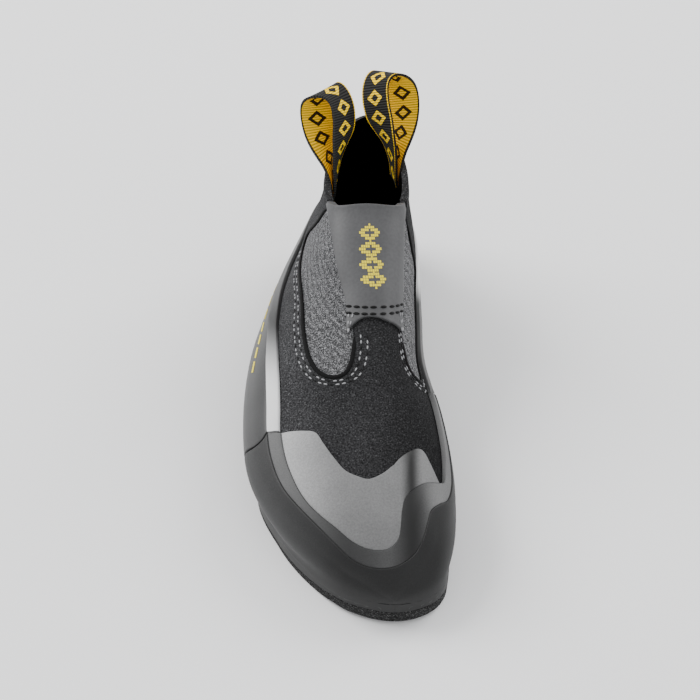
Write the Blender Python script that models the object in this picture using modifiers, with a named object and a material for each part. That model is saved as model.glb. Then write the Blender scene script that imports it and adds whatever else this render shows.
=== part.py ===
# Slip-on climbing shoe for the right foot, standing on its sole.
# +Z is up, the toe points along -Y and the big toe's side is +X.
# The origin is the middle of the heel's flat spot, on the floor.

from collections import namedtuple
from math import pi, sin

import bmesh
import bpy
import numpy as np

mm = 0.001

# Driving sizes of the foot space inside the upper
last_length = 226.6 * mm
ball_width = 77.0 * mm
collar_height = 76.0 * mm
heel_setback = 24.6 * mm

# Walls of the layers, from the foot outwards
layer_gap = 0.3 * mm
insole_thick = 1.5 * mm
upper_wall = 1.8 * mm
gore_wall = 1.2 * mm
gore_gap = 0.5 * mm
band_gap = 0.6 * mm
band_wall = 1.2 * mm
patch_wall = 1.4 * mm
rand_wall = 1.8 * mm
rand_shoulder = 1.1 * mm
rand_feather = 1.0 * mm
fold_rise = 1.0 * mm
shoulder_reach = 12.0 * mm
band_reach = 9.0 * mm
fold_reach = 10.0 * mm
feather_reach = 4.5 * mm
sole_thick = 3.8 * mm
sole_rim = 1.2 * mm

# Edges of the soles and of the boards above them. Ends are stations, and half widths are
# shares of the way round the form.
toe_rim_height = 11.0 * mm
side_rim_height = 8.2 * mm
heel_rim_height = 8.0 * mm
toe_spring = 2.0 * mm
sole_step = 6.0 * mm
flat_margin = 0.6 * mm
insole_half = 0.16
insole_start = 4.95
insole_end = 12.45
midsole_half = 0.135
midsole_start = 8.56
midsole_end = 12.36
board_end_reach = 0.45
outsole_start = 8.0
rim_rise_start = 10.0
heel_sole_start = 6.3
heel_sole_reach = 2.8

# Pull loops
webbing_width = 14.5 * mm
webbing_thick = 1.1 * mm
loop_rise = 40.5 * mm
loop_belly = 11.0 * mm
loop_tuck = 9.0 * mm
loop_taper = 1.5
loop_gap = 0.8 * mm
leg_gap = 0.4 * mm

# Offsets of each layer from the foot space, worked out from the walls
overlay_base = upper_wall + layer_gap
rand_face = overlay_base + rand_wall
sole_base = rand_face + layer_gap
seat_height = sole_base + sole_thick

# Sections run from the collar to the toe tip. Each lies in a plane through its highest
# and lowest points. Runs are shares of last_length from the heel, rises are shares of
# collar_height above the seat, and widths are shares of ball_width.
Section = namedtuple(
    "Section",
    "top_run top_rise low_run low_rise ridge axis lateral medial"
    " lateral_rise medial_rise crown corner",
)
sections = [
    Section(0.320, 1.053, 0.016, 1.000, 0.000, 0.000, 0.208, 0.214, 0.60, 0.60, 0.78, 0.55),
    Section(0.349, 0.961, 0.027, 0.816, 0.000, 0.000, 0.208, 0.214, 0.60, 0.60, 0.78, 0.52),
    Section(0.400, 0.879, 0.022, 0.566, 0.006, -0.006, 0.240, 0.240, 0.54, 0.52, 0.76, 0.50),
    Section(0.448, 0.803, 0.002, 0.316, 0.019, -0.013, 0.299, 0.273, 0.46, 0.44, 0.70, 0.52),
    Section(0.492, 0.734, 0.014, 0.099, 0.039, -0.019, 0.348, 0.299, 0.40, 0.38, 0.62, 0.56),
    Section(0.532, 0.674, 0.095, 0.000, 0.052, -0.039, 0.406, 0.312, 0.36, 0.40, 0.56, 0.62),
    Section(0.576, 0.613, 0.263, 0.033, 0.065, -0.071, 0.468, 0.338, 0.34, 0.44, 0.53, 0.62),
    Section(0.634, 0.550, 0.440, 0.099, 0.071, -0.110, 0.494, 0.377, 0.32, 0.46, 0.52, 0.62),
    Section(0.700, 0.489, 0.603, 0.055, 0.091, -0.110, 0.513, 0.451, 0.30, 0.44, 0.52, 0.68),
    Section(0.775, 0.426, 0.740, -0.003, 0.117, -0.052, 0.532, 0.444, 0.30, 0.42, 0.52, 0.74),
    Section(0.850, 0.363, 0.846, -0.003, 0.143, 0.013, 0.465, 0.390, 0.32, 0.42, 0.52, 0.78),
    Section(0.921, 0.282, 0.925, 0.005, 0.156, 0.065, 0.344, 0.312, 0.36, 0.42, 0.52, 0.78),
    Section(0.978, 0.168, 0.978, 0.024, 0.149, 0.104, 0.195, 0.201, 0.45, 0.45, 0.55, 0.70),
    Section(1.000, 0.079, 1.000, 0.079, 0.130, 0.130, 0.000, 0.000, 0.50, 0.50, 0.60, 0.60),
]
toe_station = len(sections) - 1

# Lines that every wrapped piece is divided along, so that the layers' facets are parallel
station_lines = [1, 2, 3, *(k / 2 for k in range(7, 25)), 12.3, 12.6, 12.8, 12.93]
around_lines = [k / 14 for k in range(-13, 14)]

# Outlines on the foot form. station counts sections from the collar, and around runs from
# 0 on the instep ridge to -1 down the lateral side and 1 down the medial side, where both
# meet in the middle of the sole.
Spot = namedtuple("Spot", "station around")

collar_rim = [
    Spot(0.30, -1.0), Spot(0.60, -0.75), Spot(0.95, -0.50), Spot(0.95, -0.25),
    Spot(0.62, 0.0), Spot(0.95, 0.25), Spot(0.95, 0.50), Spot(0.60, 0.75), Spot(0.30, 1.0),
]

gore_lateral_edge = [
    Spot(1.30, -0.310), Spot(1.75, -0.372), Spot(2.40, -0.425), Spot(3.20, -0.460),
    Spot(3.80, -0.445), Spot(4.20, -0.395), Spot(4.60, -0.320), Spot(5.20, -0.268),
    Spot(5.90, -0.228), Spot(6.45, -0.194), Spot(6.84, -0.163), Spot(7.02, -0.130),
    Spot(6.92, -0.095), Spot(6.55, -0.066), Spot(5.90, -0.056), Spot(4.85, -0.080),
    Spot(3.95, -0.106), Spot(3.00, -0.142), Spot(2.10, -0.185), Spot(1.60, -0.245),
]
gore_medial_edge = [
    Spot(1.42, 0.297), Spot(1.90, 0.250), Spot(2.60, 0.218), Spot(3.60, 0.188),
    Spot(4.60, 0.176), Spot(5.50, 0.178), Spot(6.20, 0.192), Spot(6.80, 0.228),
    Spot(7.18, 0.280), Spot(7.36, 0.345), Spot(7.34, 0.405), Spot(7.05, 0.432),
    Spot(6.20, 0.425), Spot(5.20, 0.405), Spot(4.10, 0.372), Spot(2.90, 0.338),
    Spot(1.90, 0.324),
]

# The medial half of the upper's opening under the foot
upper_opening = [
    Spot(5.20, 1.0), Spot(5.35, 0.93), Spot(5.80, 0.90), Spot(11.80, 0.90), Spot(12.12, 0.94),
    Spot(12.20, 1.0),
]

# The instep band, with the arch in its lower end
band_lateral = [
    Spot(1.12, -0.300), Spot(1.60, -0.236), Spot(2.10, -0.176), Spot(3.00, -0.134),
    Spot(3.95, -0.098), Spot(4.85, -0.074), Spot(5.80, -0.070),
]
band_arch = [
    Spot(5.80, -0.070), Spot(5.35, -0.052), Spot(5.09, -0.030), Spot(5.03, 0.0),
    Spot(5.10, 0.036), Spot(5.40, 0.090), Spot(6.05, 0.168),
]
band_medial = [
    Spot(6.05, 0.180), Spot(5.50, 0.168), Spot(4.60, 0.166), Spot(3.60, 0.178),
    Spot(2.60, 0.208), Spot(1.90, 0.240), Spot(1.15, 0.296),
]
band_top = [
    Spot(1.15, 0.296), Spot(0.98, 0.200), Spot(0.84, 0.100), Spot(0.80, 0.0),
    Spot(0.86, -0.100), Spot(1.00, -0.200), Spot(1.12, -0.300),
]

# The toe patch, whose lower edge the toe band meets
patch_top = [
    Spot(8.56, -0.274), Spot(8.56, -0.240), Spot(8.59, -0.205), Spot(8.66, -0.175),
    Spot(8.92, -0.160), Spot(9.28, -0.144), Spot(9.62, -0.126), Spot(9.80, -0.097),
    Spot(9.88, -0.069), Spot(9.76, -0.031), Spot(9.52, 0.008), Spot(9.26, 0.074),
    Spot(9.10, 0.138), Spot(9.15, 0.180), Spot(9.40, 0.214), Spot(9.70, 0.255),
    Spot(9.78, 0.272),
]
patch_low = [
    Spot(8.56, -0.274), Spot(8.85, -0.262), Spot(9.14, -0.254), Spot(9.63, -0.257),
    Spot(10.14, -0.266), Spot(10.64, -0.266), Spot(11.13, -0.246), Spot(11.41, -0.189),
    Spot(11.56, -0.091), Spot(11.54, -0.037), Spot(11.36, 0.006), Spot(10.86, 0.030),
    Spot(10.34, 0.048), Spot(10.10, 0.085), Spot(9.95, 0.143), Spot(9.86, 0.210),
    Spot(9.78, 0.272),
]

# The toe rand's shoulder, and the medial run of the toe band's upper edge
shoulder = [
    Spot(8.50, -0.317), Spot(8.90, -0.331), Spot(9.28, -0.340), Spot(9.89, -0.349),
    Spot(10.44, -0.351), Spot(11.05, -0.334), Spot(11.61, -0.263), Spot(11.89, -0.177),
    Spot(12.05, -0.040), Spot(11.90, 0.074), Spot(11.58, 0.150), Spot(11.11, 0.184),
    Spot(10.60, 0.202), Spot(10.34, 0.246), Spot(10.11, 0.318), Spot(9.66, 0.366),
    Spot(9.05, 0.392), Spot(8.37, 0.426), Spot(7.62, 0.470),
]
band_rise = [
    Spot(9.78, 0.272), Spot(9.66, 0.315), Spot(9.05, 0.352), Spot(8.37, 0.394),
    Spot(7.62, 0.444),
]

# Where the toe rand meets the heel rand, from the fold down
lateral_seam = [
    Spot(8.50, -0.317), Spot(8.62, -0.345), Spot(8.67, -0.390), Spot(8.64, -0.480),
    Spot(8.70, -0.620), Spot(8.60, -0.800), Spot(8.55, -1.0),
]
medial_seam = [
    Spot(7.62, 0.470), Spot(7.70, 0.560), Spot(7.90, 0.700), Spot(8.30, 0.850),
    Spot(8.55, 1.0),
]

# The medial half of the toe rand's opening under the foot
rand_opening = [
    Spot(8.40, 0.855), Spot(10.5, 0.855), Spot(12.05, 0.855), Spot(12.32, 0.905),
    Spot(12.40, 1.0),
]

# The heel rand's upper edge, and the fold below its chamfer
heel_top_lateral = [
    Spot(8.50, -0.282), Spot(7.85, -0.277), Spot(7.17, -0.289), Spot(6.45, -0.323),
    Spot(5.71, -0.383), Spot(5.10, -0.462), Spot(4.40, -0.530), Spot(3.60, -0.600),
    Spot(2.95, -0.690), Spot(2.48, -0.830), Spot(2.35, -1.0),
]
heel_fold_lateral = [
    Spot(8.50, -0.317), Spot(7.84, -0.314), Spot(7.19, -0.328), Spot(6.49, -0.362),
    Spot(5.80, -0.420), Spot(5.22, -0.494), Spot(4.58, -0.562), Spot(3.84, -0.632),
    Spot(3.24, -0.716), Spot(2.78, -0.845), Spot(2.64, -1.0),
]
heel_top_medial = [
    Spot(7.62, 0.444), Spot(7.00, 0.478), Spot(6.20, 0.492), Spot(5.30, 0.500),
    Spot(4.40, 0.530), Spot(3.60, 0.600), Spot(2.95, 0.690), Spot(2.48, 0.830),
    Spot(2.35, 1.0),
]
heel_fold_medial = [
    Spot(7.62, 0.470), Spot(7.00, 0.512), Spot(6.20, 0.528), Spot(5.35, 0.535),
    Spot(4.58, 0.565), Spot(3.84, 0.634), Spot(3.24, 0.718), Spot(2.78, 0.845),
    Spot(2.64, 1.0),
]

# Each pull loop stands on the rim at around, and its ring rises along up by a share of
# loop_rise and opens along belly. Its webbing faces across, with twist added on the outer
# leg and taken off the inner one, and with crest added at the top.
Loop = namedtuple("Loop", "name around share up belly across twist crest")
pull_loops = [
    Loop("lateral", -0.530, 0.94, (-0.07, 0.39, 0.90), (-0.86, 0.41, -0.22),
         (0.80, 0.49, -0.18), (0.21, -0.38, 0.16), (-0.16, 0.32, 0.17)),
    Loop("medial", 0.600, 1.0, (-0.10, 0.39, 0.90), (0.80, 0.44, -0.34),
         (-0.84, 0.35, -0.36), (-0.12, -0.19, 0.14), (0.06, 0.24, 0.11)),
]

parts = bpy.data.collections.new("climbing_shoe")
cutters = bpy.data.collections.new("cutters")


# The foot form


def section_rows(stations):
    """Values of the section table at fractional stations, on a smooth curve through its rows."""
    rows = np.array(sections)
    before = 2 * rows[0] - rows[1]
    # Past the toe tip the sections turn over, which rounds the tip
    beyond = rows[-2].copy()
    beyond[[0, 1, 2, 3]] = beyond[[2, 3, 0, 1]]
    beyond[[6, 7]] *= -1
    rows = np.vstack([before, rows, beyond])
    stations = np.clip(stations, 0, toe_station - 1e-9)
    first = stations.astype(int)
    u = (stations - first)[:, None]
    a, b, c, d = rows[first], rows[first + 1], rows[first + 2], rows[first + 3]
    bend = 2 * a - 5 * b + 4 * c - d
    twist = 3 * b - a - 3 * c + d
    return b + 0.5 * u * ((c - a) + u * (bend + u * twist))


def bezier(a, b, c, d, u):
    v = 1 - u
    return v**3 * a + 3 * v * v * u * b + 3 * v * u * u * c + u**3 * d


def form_points(stations, arounds):
    """Points of the foot space's surface, from two equal arrays."""
    row = Section(*section_rows(stations).T)
    lateral = arounds < 0
    width = np.where(lateral, -row.lateral, row.medial)
    widest = np.where(lateral, row.lateral_rise, row.medial_rise)
    share = np.abs(arounds) * 2
    over = share <= 1
    u = np.where(over, share, share - 1)
    side = row.axis + width
    crown_x = row.ridge + row.crown * (side - row.ridge)
    crown_z = widest + row.crown * (1 - widest)
    across = np.where(
        over,
        bezier(row.ridge, crown_x, side, side, u),
        bezier(side, side, row.axis + row.corner * width, row.axis, u),
    )
    height = np.where(
        over,
        bezier(1, 1, crown_z, widest, u),
        bezier(widest, widest * (1 - row.corner), 0, 0, u),
    )
    run = row.low_run + (row.top_run - row.low_run) * height
    rise = row.low_rise + (row.top_rise - row.low_rise) * height
    return np.column_stack(
        [
            across * ball_width,
            heel_setback - run * last_length,
            seat_height + rise * collar_height,
        ]
    )


def round_the_sole(arounds):
    """Brings a place past the middle of the sole back in from the other side."""
    return (arounds + 1) % 2 - 1


def form_normals(stations, arounds):
    step = 1e-3
    ahead = form_points(np.minimum(stations + step, toe_station), arounds)
    behind = form_points(np.maximum(stations - step, 0), arounds)
    left = form_points(stations, round_the_sole(arounds - step))
    right = form_points(stations, round_the_sole(arounds + step))
    normals = np.cross(ahead - behind, right - left)
    length = np.linalg.norm(normals, axis=1, keepdims=True)
    normals = normals / np.maximum(length, 1e-15)
    normals[stations > toe_station - 1e-4] = (0, -1, 0)
    return normals


def lifted(stations, arounds, offset):
    """Points at an offset above the smooth form."""
    return form_points(stations, arounds) + offset * form_normals(stations, arounds)


station_nodes = np.array([0, *station_lines, toe_station])
around_nodes = np.array([-1, *around_lines, 1])
node_grid = np.meshgrid(station_nodes, around_nodes, indexing="ij")
node_points = form_points(node_grid[0].ravel(), node_grid[1].ravel())
node_normals = form_normals(node_grid[0].ravel(), node_grid[1].ravel())


def facet_points(stations, arounds, offset):
    """Points at an offset above the faceted form, whose facets have the nodes as corners."""
    arounds = np.where(arounds > 1, arounds - 2, arounds)
    i = np.clip(np.searchsorted(station_nodes, stations, "right") - 1, 0, len(station_nodes) - 2)
    j = np.clip(np.searchsorted(around_nodes, arounds, "right") - 1, 0, len(around_nodes) - 2)
    u = (stations - station_nodes[i]) / (station_nodes[i + 1] - station_nodes[i])
    v = (arounds - around_nodes[j]) / (around_nodes[j + 1] - around_nodes[j])
    columns = len(around_nodes)
    near, far = i * columns + j, (i + 1) * columns + j
    third = np.where(u > v, far, near + 1)
    shares = (1 - np.maximum(u, v), np.abs(u - v), np.minimum(u, v))
    lift = np.broadcast_to(offset, u.shape)[:, None]
    total = np.zeros((len(u), 3))
    for share, corner in zip(shares, (near, third, far + 1)):
        total += share[:, None] * (node_points[corner] + lift * node_normals[corner])
    return total


# Flat patterns in station and around


def smooth_path(spots, steps=4):
    """A smooth open path through the spots, as an array of station and around."""
    points = np.array(spots)
    points = np.vstack([2 * points[0] - points[1], points, 2 * points[-1] - points[-2]])
    path = []
    for a, b, c, d in zip(points, points[1:], points[2:], points[3:]):
        for u in np.arange(steps) / steps:
            bend = 2 * a - 5 * b + 4 * c - d
            twist = 3 * b - a - 3 * c + d
            path.append(b + 0.5 * u * ((c - a) + u * (bend + u * twist)))
    path.append(points[-2])
    return np.array(path)


def smooth_ring(spots, steps=2):
    """A smooth closed outline through the spots, sharp at the first one."""
    return smooth_path([*spots, spots[0]], steps)[:-1]


def rim_station(around):
    rim = smooth_path(collar_rim)
    return np.interp(around, rim[:, 1], rim[:, 0])


station_length = last_length / toe_station
around_length = 1.5 * ball_width


def flat_metres(path):
    """Pattern places in metres, near enough to measure gaps and distances by."""
    return np.asarray(path) * (station_length, around_length)


def inset(outline, gap):
    """The outline moved in by a gap, whichever way round it runs."""
    flat = flat_metres(outline)
    ahead = np.roll(flat, -1, axis=0) - flat
    ahead /= np.linalg.norm(ahead, axis=1, keepdims=True)
    along = ahead + np.roll(ahead, 1, axis=0)
    along /= np.linalg.norm(along, axis=1, keepdims=True)
    after = np.roll(flat, -1, axis=0)
    area = np.sum(flat[:, 0] * after[:, 1] - flat[:, 1] * after[:, 0])
    inward = np.column_stack([-along[:, 1], along[:, 0]]) * np.sign(area)
    return (flat + gap * inward) / (station_length, around_length)


def nearness(places, path, reach):
    """1 on the path, falling evenly to 0 at the reach from it."""
    flat = flat_metres(places)[:, None, :]
    starts, ends = flat_metres(path[:-1]), flat_metres(path[1:])
    run = ends - starts
    share = ((flat - starts) * run).sum(2) / (run * run).sum(1)
    foot = starts + np.clip(share, 0, 1)[..., None] * run
    distance = np.linalg.norm(flat - foot, axis=2).min(1)
    return np.clip(1 - distance / reach, 0, 1)


def bisect(bm, faces, place, normal, snap):
    """Divides the faces along a plane, with nothing cut away."""
    edges = {edge for face in faces for edge in face.edges}
    verts = {vert for face in faces for vert in face.verts}
    bmesh.ops.bisect_plane(
        bm, geom=[*verts, *edges, *faces], dist=snap, plane_co=place, plane_no=normal
    )


def flat_sheet(*outlines):
    """A mesh of the outlines, laid flat and divided into the form's facets."""
    bm = bmesh.new()
    for outline in outlines:
        bm.faces.new([bm.verts.new((station, around, 0)) for station, around in outline])
    bmesh.ops.remove_doubles(bm, verts=bm.verts, dist=1e-5)
    for line in station_lines:
        bisect(bm, bm.faces[:], (line, 0, 0), (1, 0, 0), 1e-3)
    # Past 1 the lines go on up the lateral side, for patterns that cross the sole
    beyond = [1, *(around + 2 for around in around_lines if around < 0)]
    for line in [*around_lines, *beyond]:
        bisect(bm, bm.faces[:], (0, line, 0), (0, 1, 0), 1e-4)

    cells = {}
    lines = [-1, *around_lines, *beyond]
    for face in bm.faces:
        middle = face.calc_center_median()
        i = np.searchsorted(station_nodes, middle.x) - 1
        j = np.searchsorted(lines, middle.y) - 1
        cells.setdefault((i, j), []).append(face)
    for (i, j), faces in cells.items():
        across = (lines[j + 1] - lines[j], station_nodes[i] - station_nodes[i + 1], 0)
        bisect(bm, faces, (station_nodes[i], lines[j], 0), across, 1e-5)
    return bm


# Objects


def material(name, colour, roughness):
    made = bpy.data.materials.new(name)
    made.use_nodes = True
    shader = made.node_tree.nodes["Principled BSDF"]
    shader.inputs["Base Color"].default_value = (*colour, 1)
    shader.inputs["Roughness"].default_value = roughness
    shader.inputs["Metallic"].default_value = 0
    made.diffuse_color = (*colour, 1)
    return made


def add_object(name, bm, finish=None):
    mesh = bpy.data.meshes.new(name)
    bm.to_mesh(mesh)
    bm.free()
    made = bpy.data.objects.new(name, mesh)
    if finish:
        mesh.materials.append(finish)
        parts.objects.link(made)
    else:
        made.hide_render = True
        made.display_type = "WIRE"
        cutters.objects.link(made)
    return made


def wrap(bm, inner, outer):
    """Wraps a flat sheet on the foot form and gives it a thickness between two offsets."""
    station = bm.verts.layers.float.new("station")
    around = bm.verts.layers.float.new("around")
    for vert in bm.verts:
        vert[station], vert[around] = vert.co.x, vert.co.y

    def place(verts, offset):
        places = np.array([(vert[station], vert[around]) for vert in verts])
        lift = offset(places) if callable(offset) else offset
        for vert, point in zip(verts, facet_points(places[:, 0], places[:, 1], lift)):
            vert.co = point

    place(bm.verts, inner)
    bmesh.ops.remove_doubles(bm, verts=bm.verts, dist=0.002 * mm)
    made = bmesh.ops.extrude_face_region(bm, geom=bm.faces[:], use_keep_orig=True)
    place([item for item in made["geom"] if isinstance(item, bmesh.types.BMVert)], outer)
    bmesh.ops.recalc_face_normals(bm, faces=bm.faces)
    return bm


def closed_form(name, offset):
    """The whole foot form at an offset, closed over the collar, to cut with."""
    rim = [(0, around) for around in np.linspace(-1, 1, 33)]
    bm = flat_sheet(rim + [(toe_station, 1), (toe_station, -1)])
    places = np.array([vert.co for vert in bm.verts])
    for vert, point in zip(bm.verts, facet_points(places[:, 0], places[:, 1], offset)):
        vert.co = point
    bmesh.ops.remove_doubles(bm, verts=bm.verts, dist=0.002 * mm)
    bmesh.ops.holes_fill(bm, edges=[edge for edge in bm.edges if edge.is_boundary])
    bmesh.ops.recalc_face_normals(bm, faces=bm.faces)
    return add_object(name, bm)


def cut(target, cutter, operation="DIFFERENCE"):
    boolean = target.modifiers.new(cutter.name, "BOOLEAN")
    boolean.operation = operation
    boolean.solver = "EXACT"
    boolean.object = cutter


# The upper and what shows in it


def gore_sides(spots):
    """A gore's outline as two paths: from its tip at the collar to its foot, and back."""
    ring = smooth_ring(spots)
    foot = np.argmax(ring[:, 0])
    return ring[: foot + 1], np.vstack([ring[foot:], ring[:1]])


def add_upper(finish):
    """One hollow wall, open at the collar, under the foot and at the two gores."""
    rim = smooth_path(collar_rim)
    tips = [gore_lateral_edge[0].around, gore_medial_edge[0].around]
    joins = [(rim_station(tip), tip) for tip in tips]
    lateral_rim = rim[rim[:, 1] < tips[0] - 0.01]
    front_rim = rim[(rim[:, 1] > tips[0] + 0.01) & (rim[:, 1] < tips[1] - 0.01)]
    medial_rim = rim[rim[:, 1] > tips[1] + 0.01]
    lateral_out, lateral_back = gore_sides(gore_lateral_edge)
    medial_back, medial_out = gore_sides(gore_medial_edge)
    toe = [(toe_station, path[-1][1]) for path in (lateral_out, medial_back)]

    lateral = [*lateral_rim, joins[0], *lateral_out, toe[0], (toe_station, -1)]
    lateral += [(station, -around) for station, around in reversed(upper_opening)]
    front = [*front_rim, joins[1], *medial_back, toe[1], toe[0], *lateral_back, joins[0]]
    medial = [joins[1], *medial_rim, *upper_opening, (toe_station, 1), toe[1], *medial_out]
    return add_object("upper", wrap(flat_sheet(lateral, front, medial), 0, upper_wall), finish)


def add_gore(name, spots, finish):
    outline = inset(smooth_ring(spots), gore_gap)
    return add_object(name, wrap(flat_sheet(outline), layer_gap, layer_gap + gore_wall), finish)


def add_instep_band(finish):
    sides = [smooth_path(spots, 2)[:-1] for spots in (band_arch, band_medial, band_top)]
    outline = [*smooth_path(band_lateral, 2)[:-1], *np.vstack(sides)]
    bm = wrap(flat_sheet(outline), overlay_base, overlay_base + band_wall)
    return add_object("instep_band", bm, finish)


def add_toe_patch(finish):
    outline = [*smooth_path(patch_top, 1), *smooth_path(patch_low, 1)[-2:0:-1]]
    bm = wrap(flat_sheet(inset(outline, layer_gap / 2)), overlay_base, overlay_base + patch_wall)
    return add_object("toe_patch", bm, finish)


# The rands


def add_toe_band(finish):
    """The strip between the toe patch and the rand's shoulder, thickest at the shoulder."""
    top = [*smooth_path(patch_low, 1)[:-1], *smooth_path(band_rise, 1)]
    low = smooth_path(shoulder, 1)
    outline = inset([*top, *low[::-1]], band_gap)

    def face(places):
        return rand_face - rand_feather / 2 + rand_shoulder * nearness(places, low, band_reach)

    return add_object("toe_band", wrap(flat_sheet(outline), overlay_base, face), finish)


def add_toe_rand(finish):
    """The rubber below the shoulder, round the toe and in under the margin of the sole."""
    low = smooth_path(shoulder, 1)
    gap = layer_gap / station_length
    lateral = smooth_path(lateral_seam[:-1], 2)[::-1] + (gap, 0)
    medial = smooth_path(medial_seam[:-1], 2) + (gap, 0)
    outline = [*lateral, *low[1:-1], *medial, *rand_opening, (toe_station, 1), (toe_station, -1)]
    outline += [(station, -around) for station, around in reversed(rand_opening[1:])]

    def face(places):
        return rand_face + rand_shoulder * nearness(places, low, shoulder_reach)

    return add_object("toe_rand", wrap(flat_sheet(outline), overlay_base, face), finish)


def add_heel_rand(finish):
    """The sling round the heel and under the arch, with a chamfer along its upper edge."""
    tops = [smooth_path(spots, 2) for spots in (heel_top_lateral, heel_top_medial)]
    folds = [smooth_path(spots, 2) for spots in (heel_fold_lateral, heel_fold_medial)]
    seams = [smooth_path(spots, 2) for spots in (lateral_seam, medial_seam)]
    outlines = []
    for top, fold, seam in zip(tops, folds, seams):
        outlines.append([*top, *fold[::-1]])
        outlines.append([*fold, *seam[:0:-1]])

    def face(places):
        lift = np.full(len(places), rand_face)
        for top, fold in zip(tops, folds):
            lift += fold_rise * nearness(places, fold, fold_reach)
            lift -= rand_feather * nearness(places, top, feather_reach)
        return lift

    return add_object("heel_rand", wrap(flat_sheet(*outlines), overlay_base, face), finish)


# Under the foot


def add_board(name, start, end, half, inner, outer, finish):
    """A board astride the middle of the sole, round at both ends."""
    turn = np.linspace(0, pi, 9)
    reach = board_end_reach
    toe_end = [(end - reach + reach * sin(a), 1 - half * np.cos(a)) for a in turn]
    heel_end = [(start + reach - reach * sin(a), 1 + half * np.cos(a)) for a in turn]
    return add_object(name, wrap(flat_sheet([*toe_end, *heel_end]), inner, outer), finish)


def sole_floor(run):
    """Height of the sole's underside along y: flat spots, arch and toe spring."""
    stations = np.linspace(4.2, toe_station, 120)
    line = form_points(stations, np.ones(120))
    order = np.argsort(line[:, 1])
    height = np.interp(run, line[order, 1], line[order, 2]) - seat_height
    forefoot = heel_setback - sections[9].low_run * last_length
    height = np.where(run < forefoot, np.minimum(height, toe_spring), height)
    return np.maximum(height - flat_margin, 0)


def rim_around(stations, side, offset, height):
    """How far round the form each station's offset surface comes down to a height."""
    low, high = np.full(len(stations), 0.5), np.ones(len(stations))
    for _ in range(30):
        middle = (low + high) / 2
        above = lifted(stations, side * middle, offset)[:, 2] > height
        low, high = np.where(above, middle, low), np.where(above, high, middle)
    return (low + high) / 2


def rim_half(stations, side, height):
    """One side of a sole's rim, seen from above, as far as the form comes down to it."""
    offset = sole_base + sole_rim
    floor = sole_floor(form_points(stations, np.ones(len(stations)))[:, 1])
    arounds = rim_around(stations, side, offset, floor + height)
    reached = arounds < 0.999
    return lifted(stations[reached], side * arounds[reached], offset)


def add_sole(name, rim, form, finish):
    """A slab inside the rim, flat underneath, hollowed to the form above it."""
    bm = bmesh.new()
    ring = [bm.verts.new(point) for point in rim]
    top = bm.faces.new(ring)
    steps = np.arange(-last_length, heel_setback * 2, sole_step)
    for step in steps:
        everything = bm.verts[:] + bm.edges[:] + bm.faces[:]
        bmesh.ops.bisect_plane(
            bm, geom=everything, dist=0.3 * mm, plane_co=(0, step, 0), plane_no=(0, 1, 0)
        )
    made = bmesh.ops.extrude_face_region(bm, geom=bm.faces[:], use_keep_orig=True)
    for vert in made["geom"]:
        if isinstance(vert, bmesh.types.BMVert):
            vert.co.z = sole_floor(vert.co.y)
    bmesh.ops.recalc_face_normals(bm, faces=bm.faces)
    sole = add_object(name, bm, finish)
    cut(sole, form)
    return sole


def add_outsole(form, finish):
    """The forefoot sole, with toe spring, up to a straight edge at the arch."""
    stations = outsole_start + (toe_station - outsole_start) * np.sin(np.linspace(0, pi / 2, 24))
    toe = np.clip((stations - rim_rise_start) / (toe_station - 0.5 - rim_rise_start), 0, 1)
    height = side_rim_height + (toe_rim_height - side_rim_height) * toe
    lateral = rim_half(stations, -1, height)
    medial = rim_half(stations, 1, height)
    return add_sole("outsole", [*lateral, *medial[::-1]], form, finish)


def add_heel_sole(form, finish):
    """The heel's sole, round at the back, from a straight edge at the arch."""
    stations = heel_sole_start - heel_sole_reach * np.sin(np.linspace(0, pi / 2, 24))
    lateral = rim_half(stations, -1, heel_rim_height)
    medial = rim_half(stations, 1, heel_rim_height)
    return add_sole("heel_sole", [*lateral, *medial[::-1]], form, finish)


# Pull loops


def unit(vector):
    return np.asarray(vector, float) / np.linalg.norm(vector)


def tucked_row(loop, drop, offset):
    """Three points of webbing lying along the collar's wall, a drop below its rim."""
    span = webbing_width / (2 * around_length)
    arounds = loop.around + span * np.array([1, 0, -1]) * np.sign(loop.around)
    rim = rim_station(loop.around)
    wall = form_points(np.array([rim, rim + 1]), np.array([loop.around] * 2))
    stations = np.full(3, rim + drop / np.linalg.norm(wall[1] - wall[0]))
    return lifted(stations, arounds[::-1], offset)


def ring_rows(loop, foot, along):
    """The free webbing: a drop that turns from along the rim to its own way across."""
    across, twist, crest = (np.array(way) for way in (loop.across, loop.twist, loop.crest))
    rows = []
    for turn in np.linspace(0.26 * pi, 1.74 * pi, 19):
        rise = (1 - np.cos(turn)) / 2
        spread = -np.sin(turn) * np.sin(turn / 2) ** loop_taper
        centre = foot + loop.share * loop_rise * rise * unit(loop.up)
        centre = centre + loop_belly * spread * unit(loop.belly)
        blend = min(rise / 0.5, 1)
        way = unit(across + spread * twist + (1 - 2 * spread**2) * crest)
        way = unit((1 - blend) * along + blend * way)
        rows.append([centre + way * webbing_width * side for side in (-0.5, 0, 0.5)])
    return rows


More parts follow.
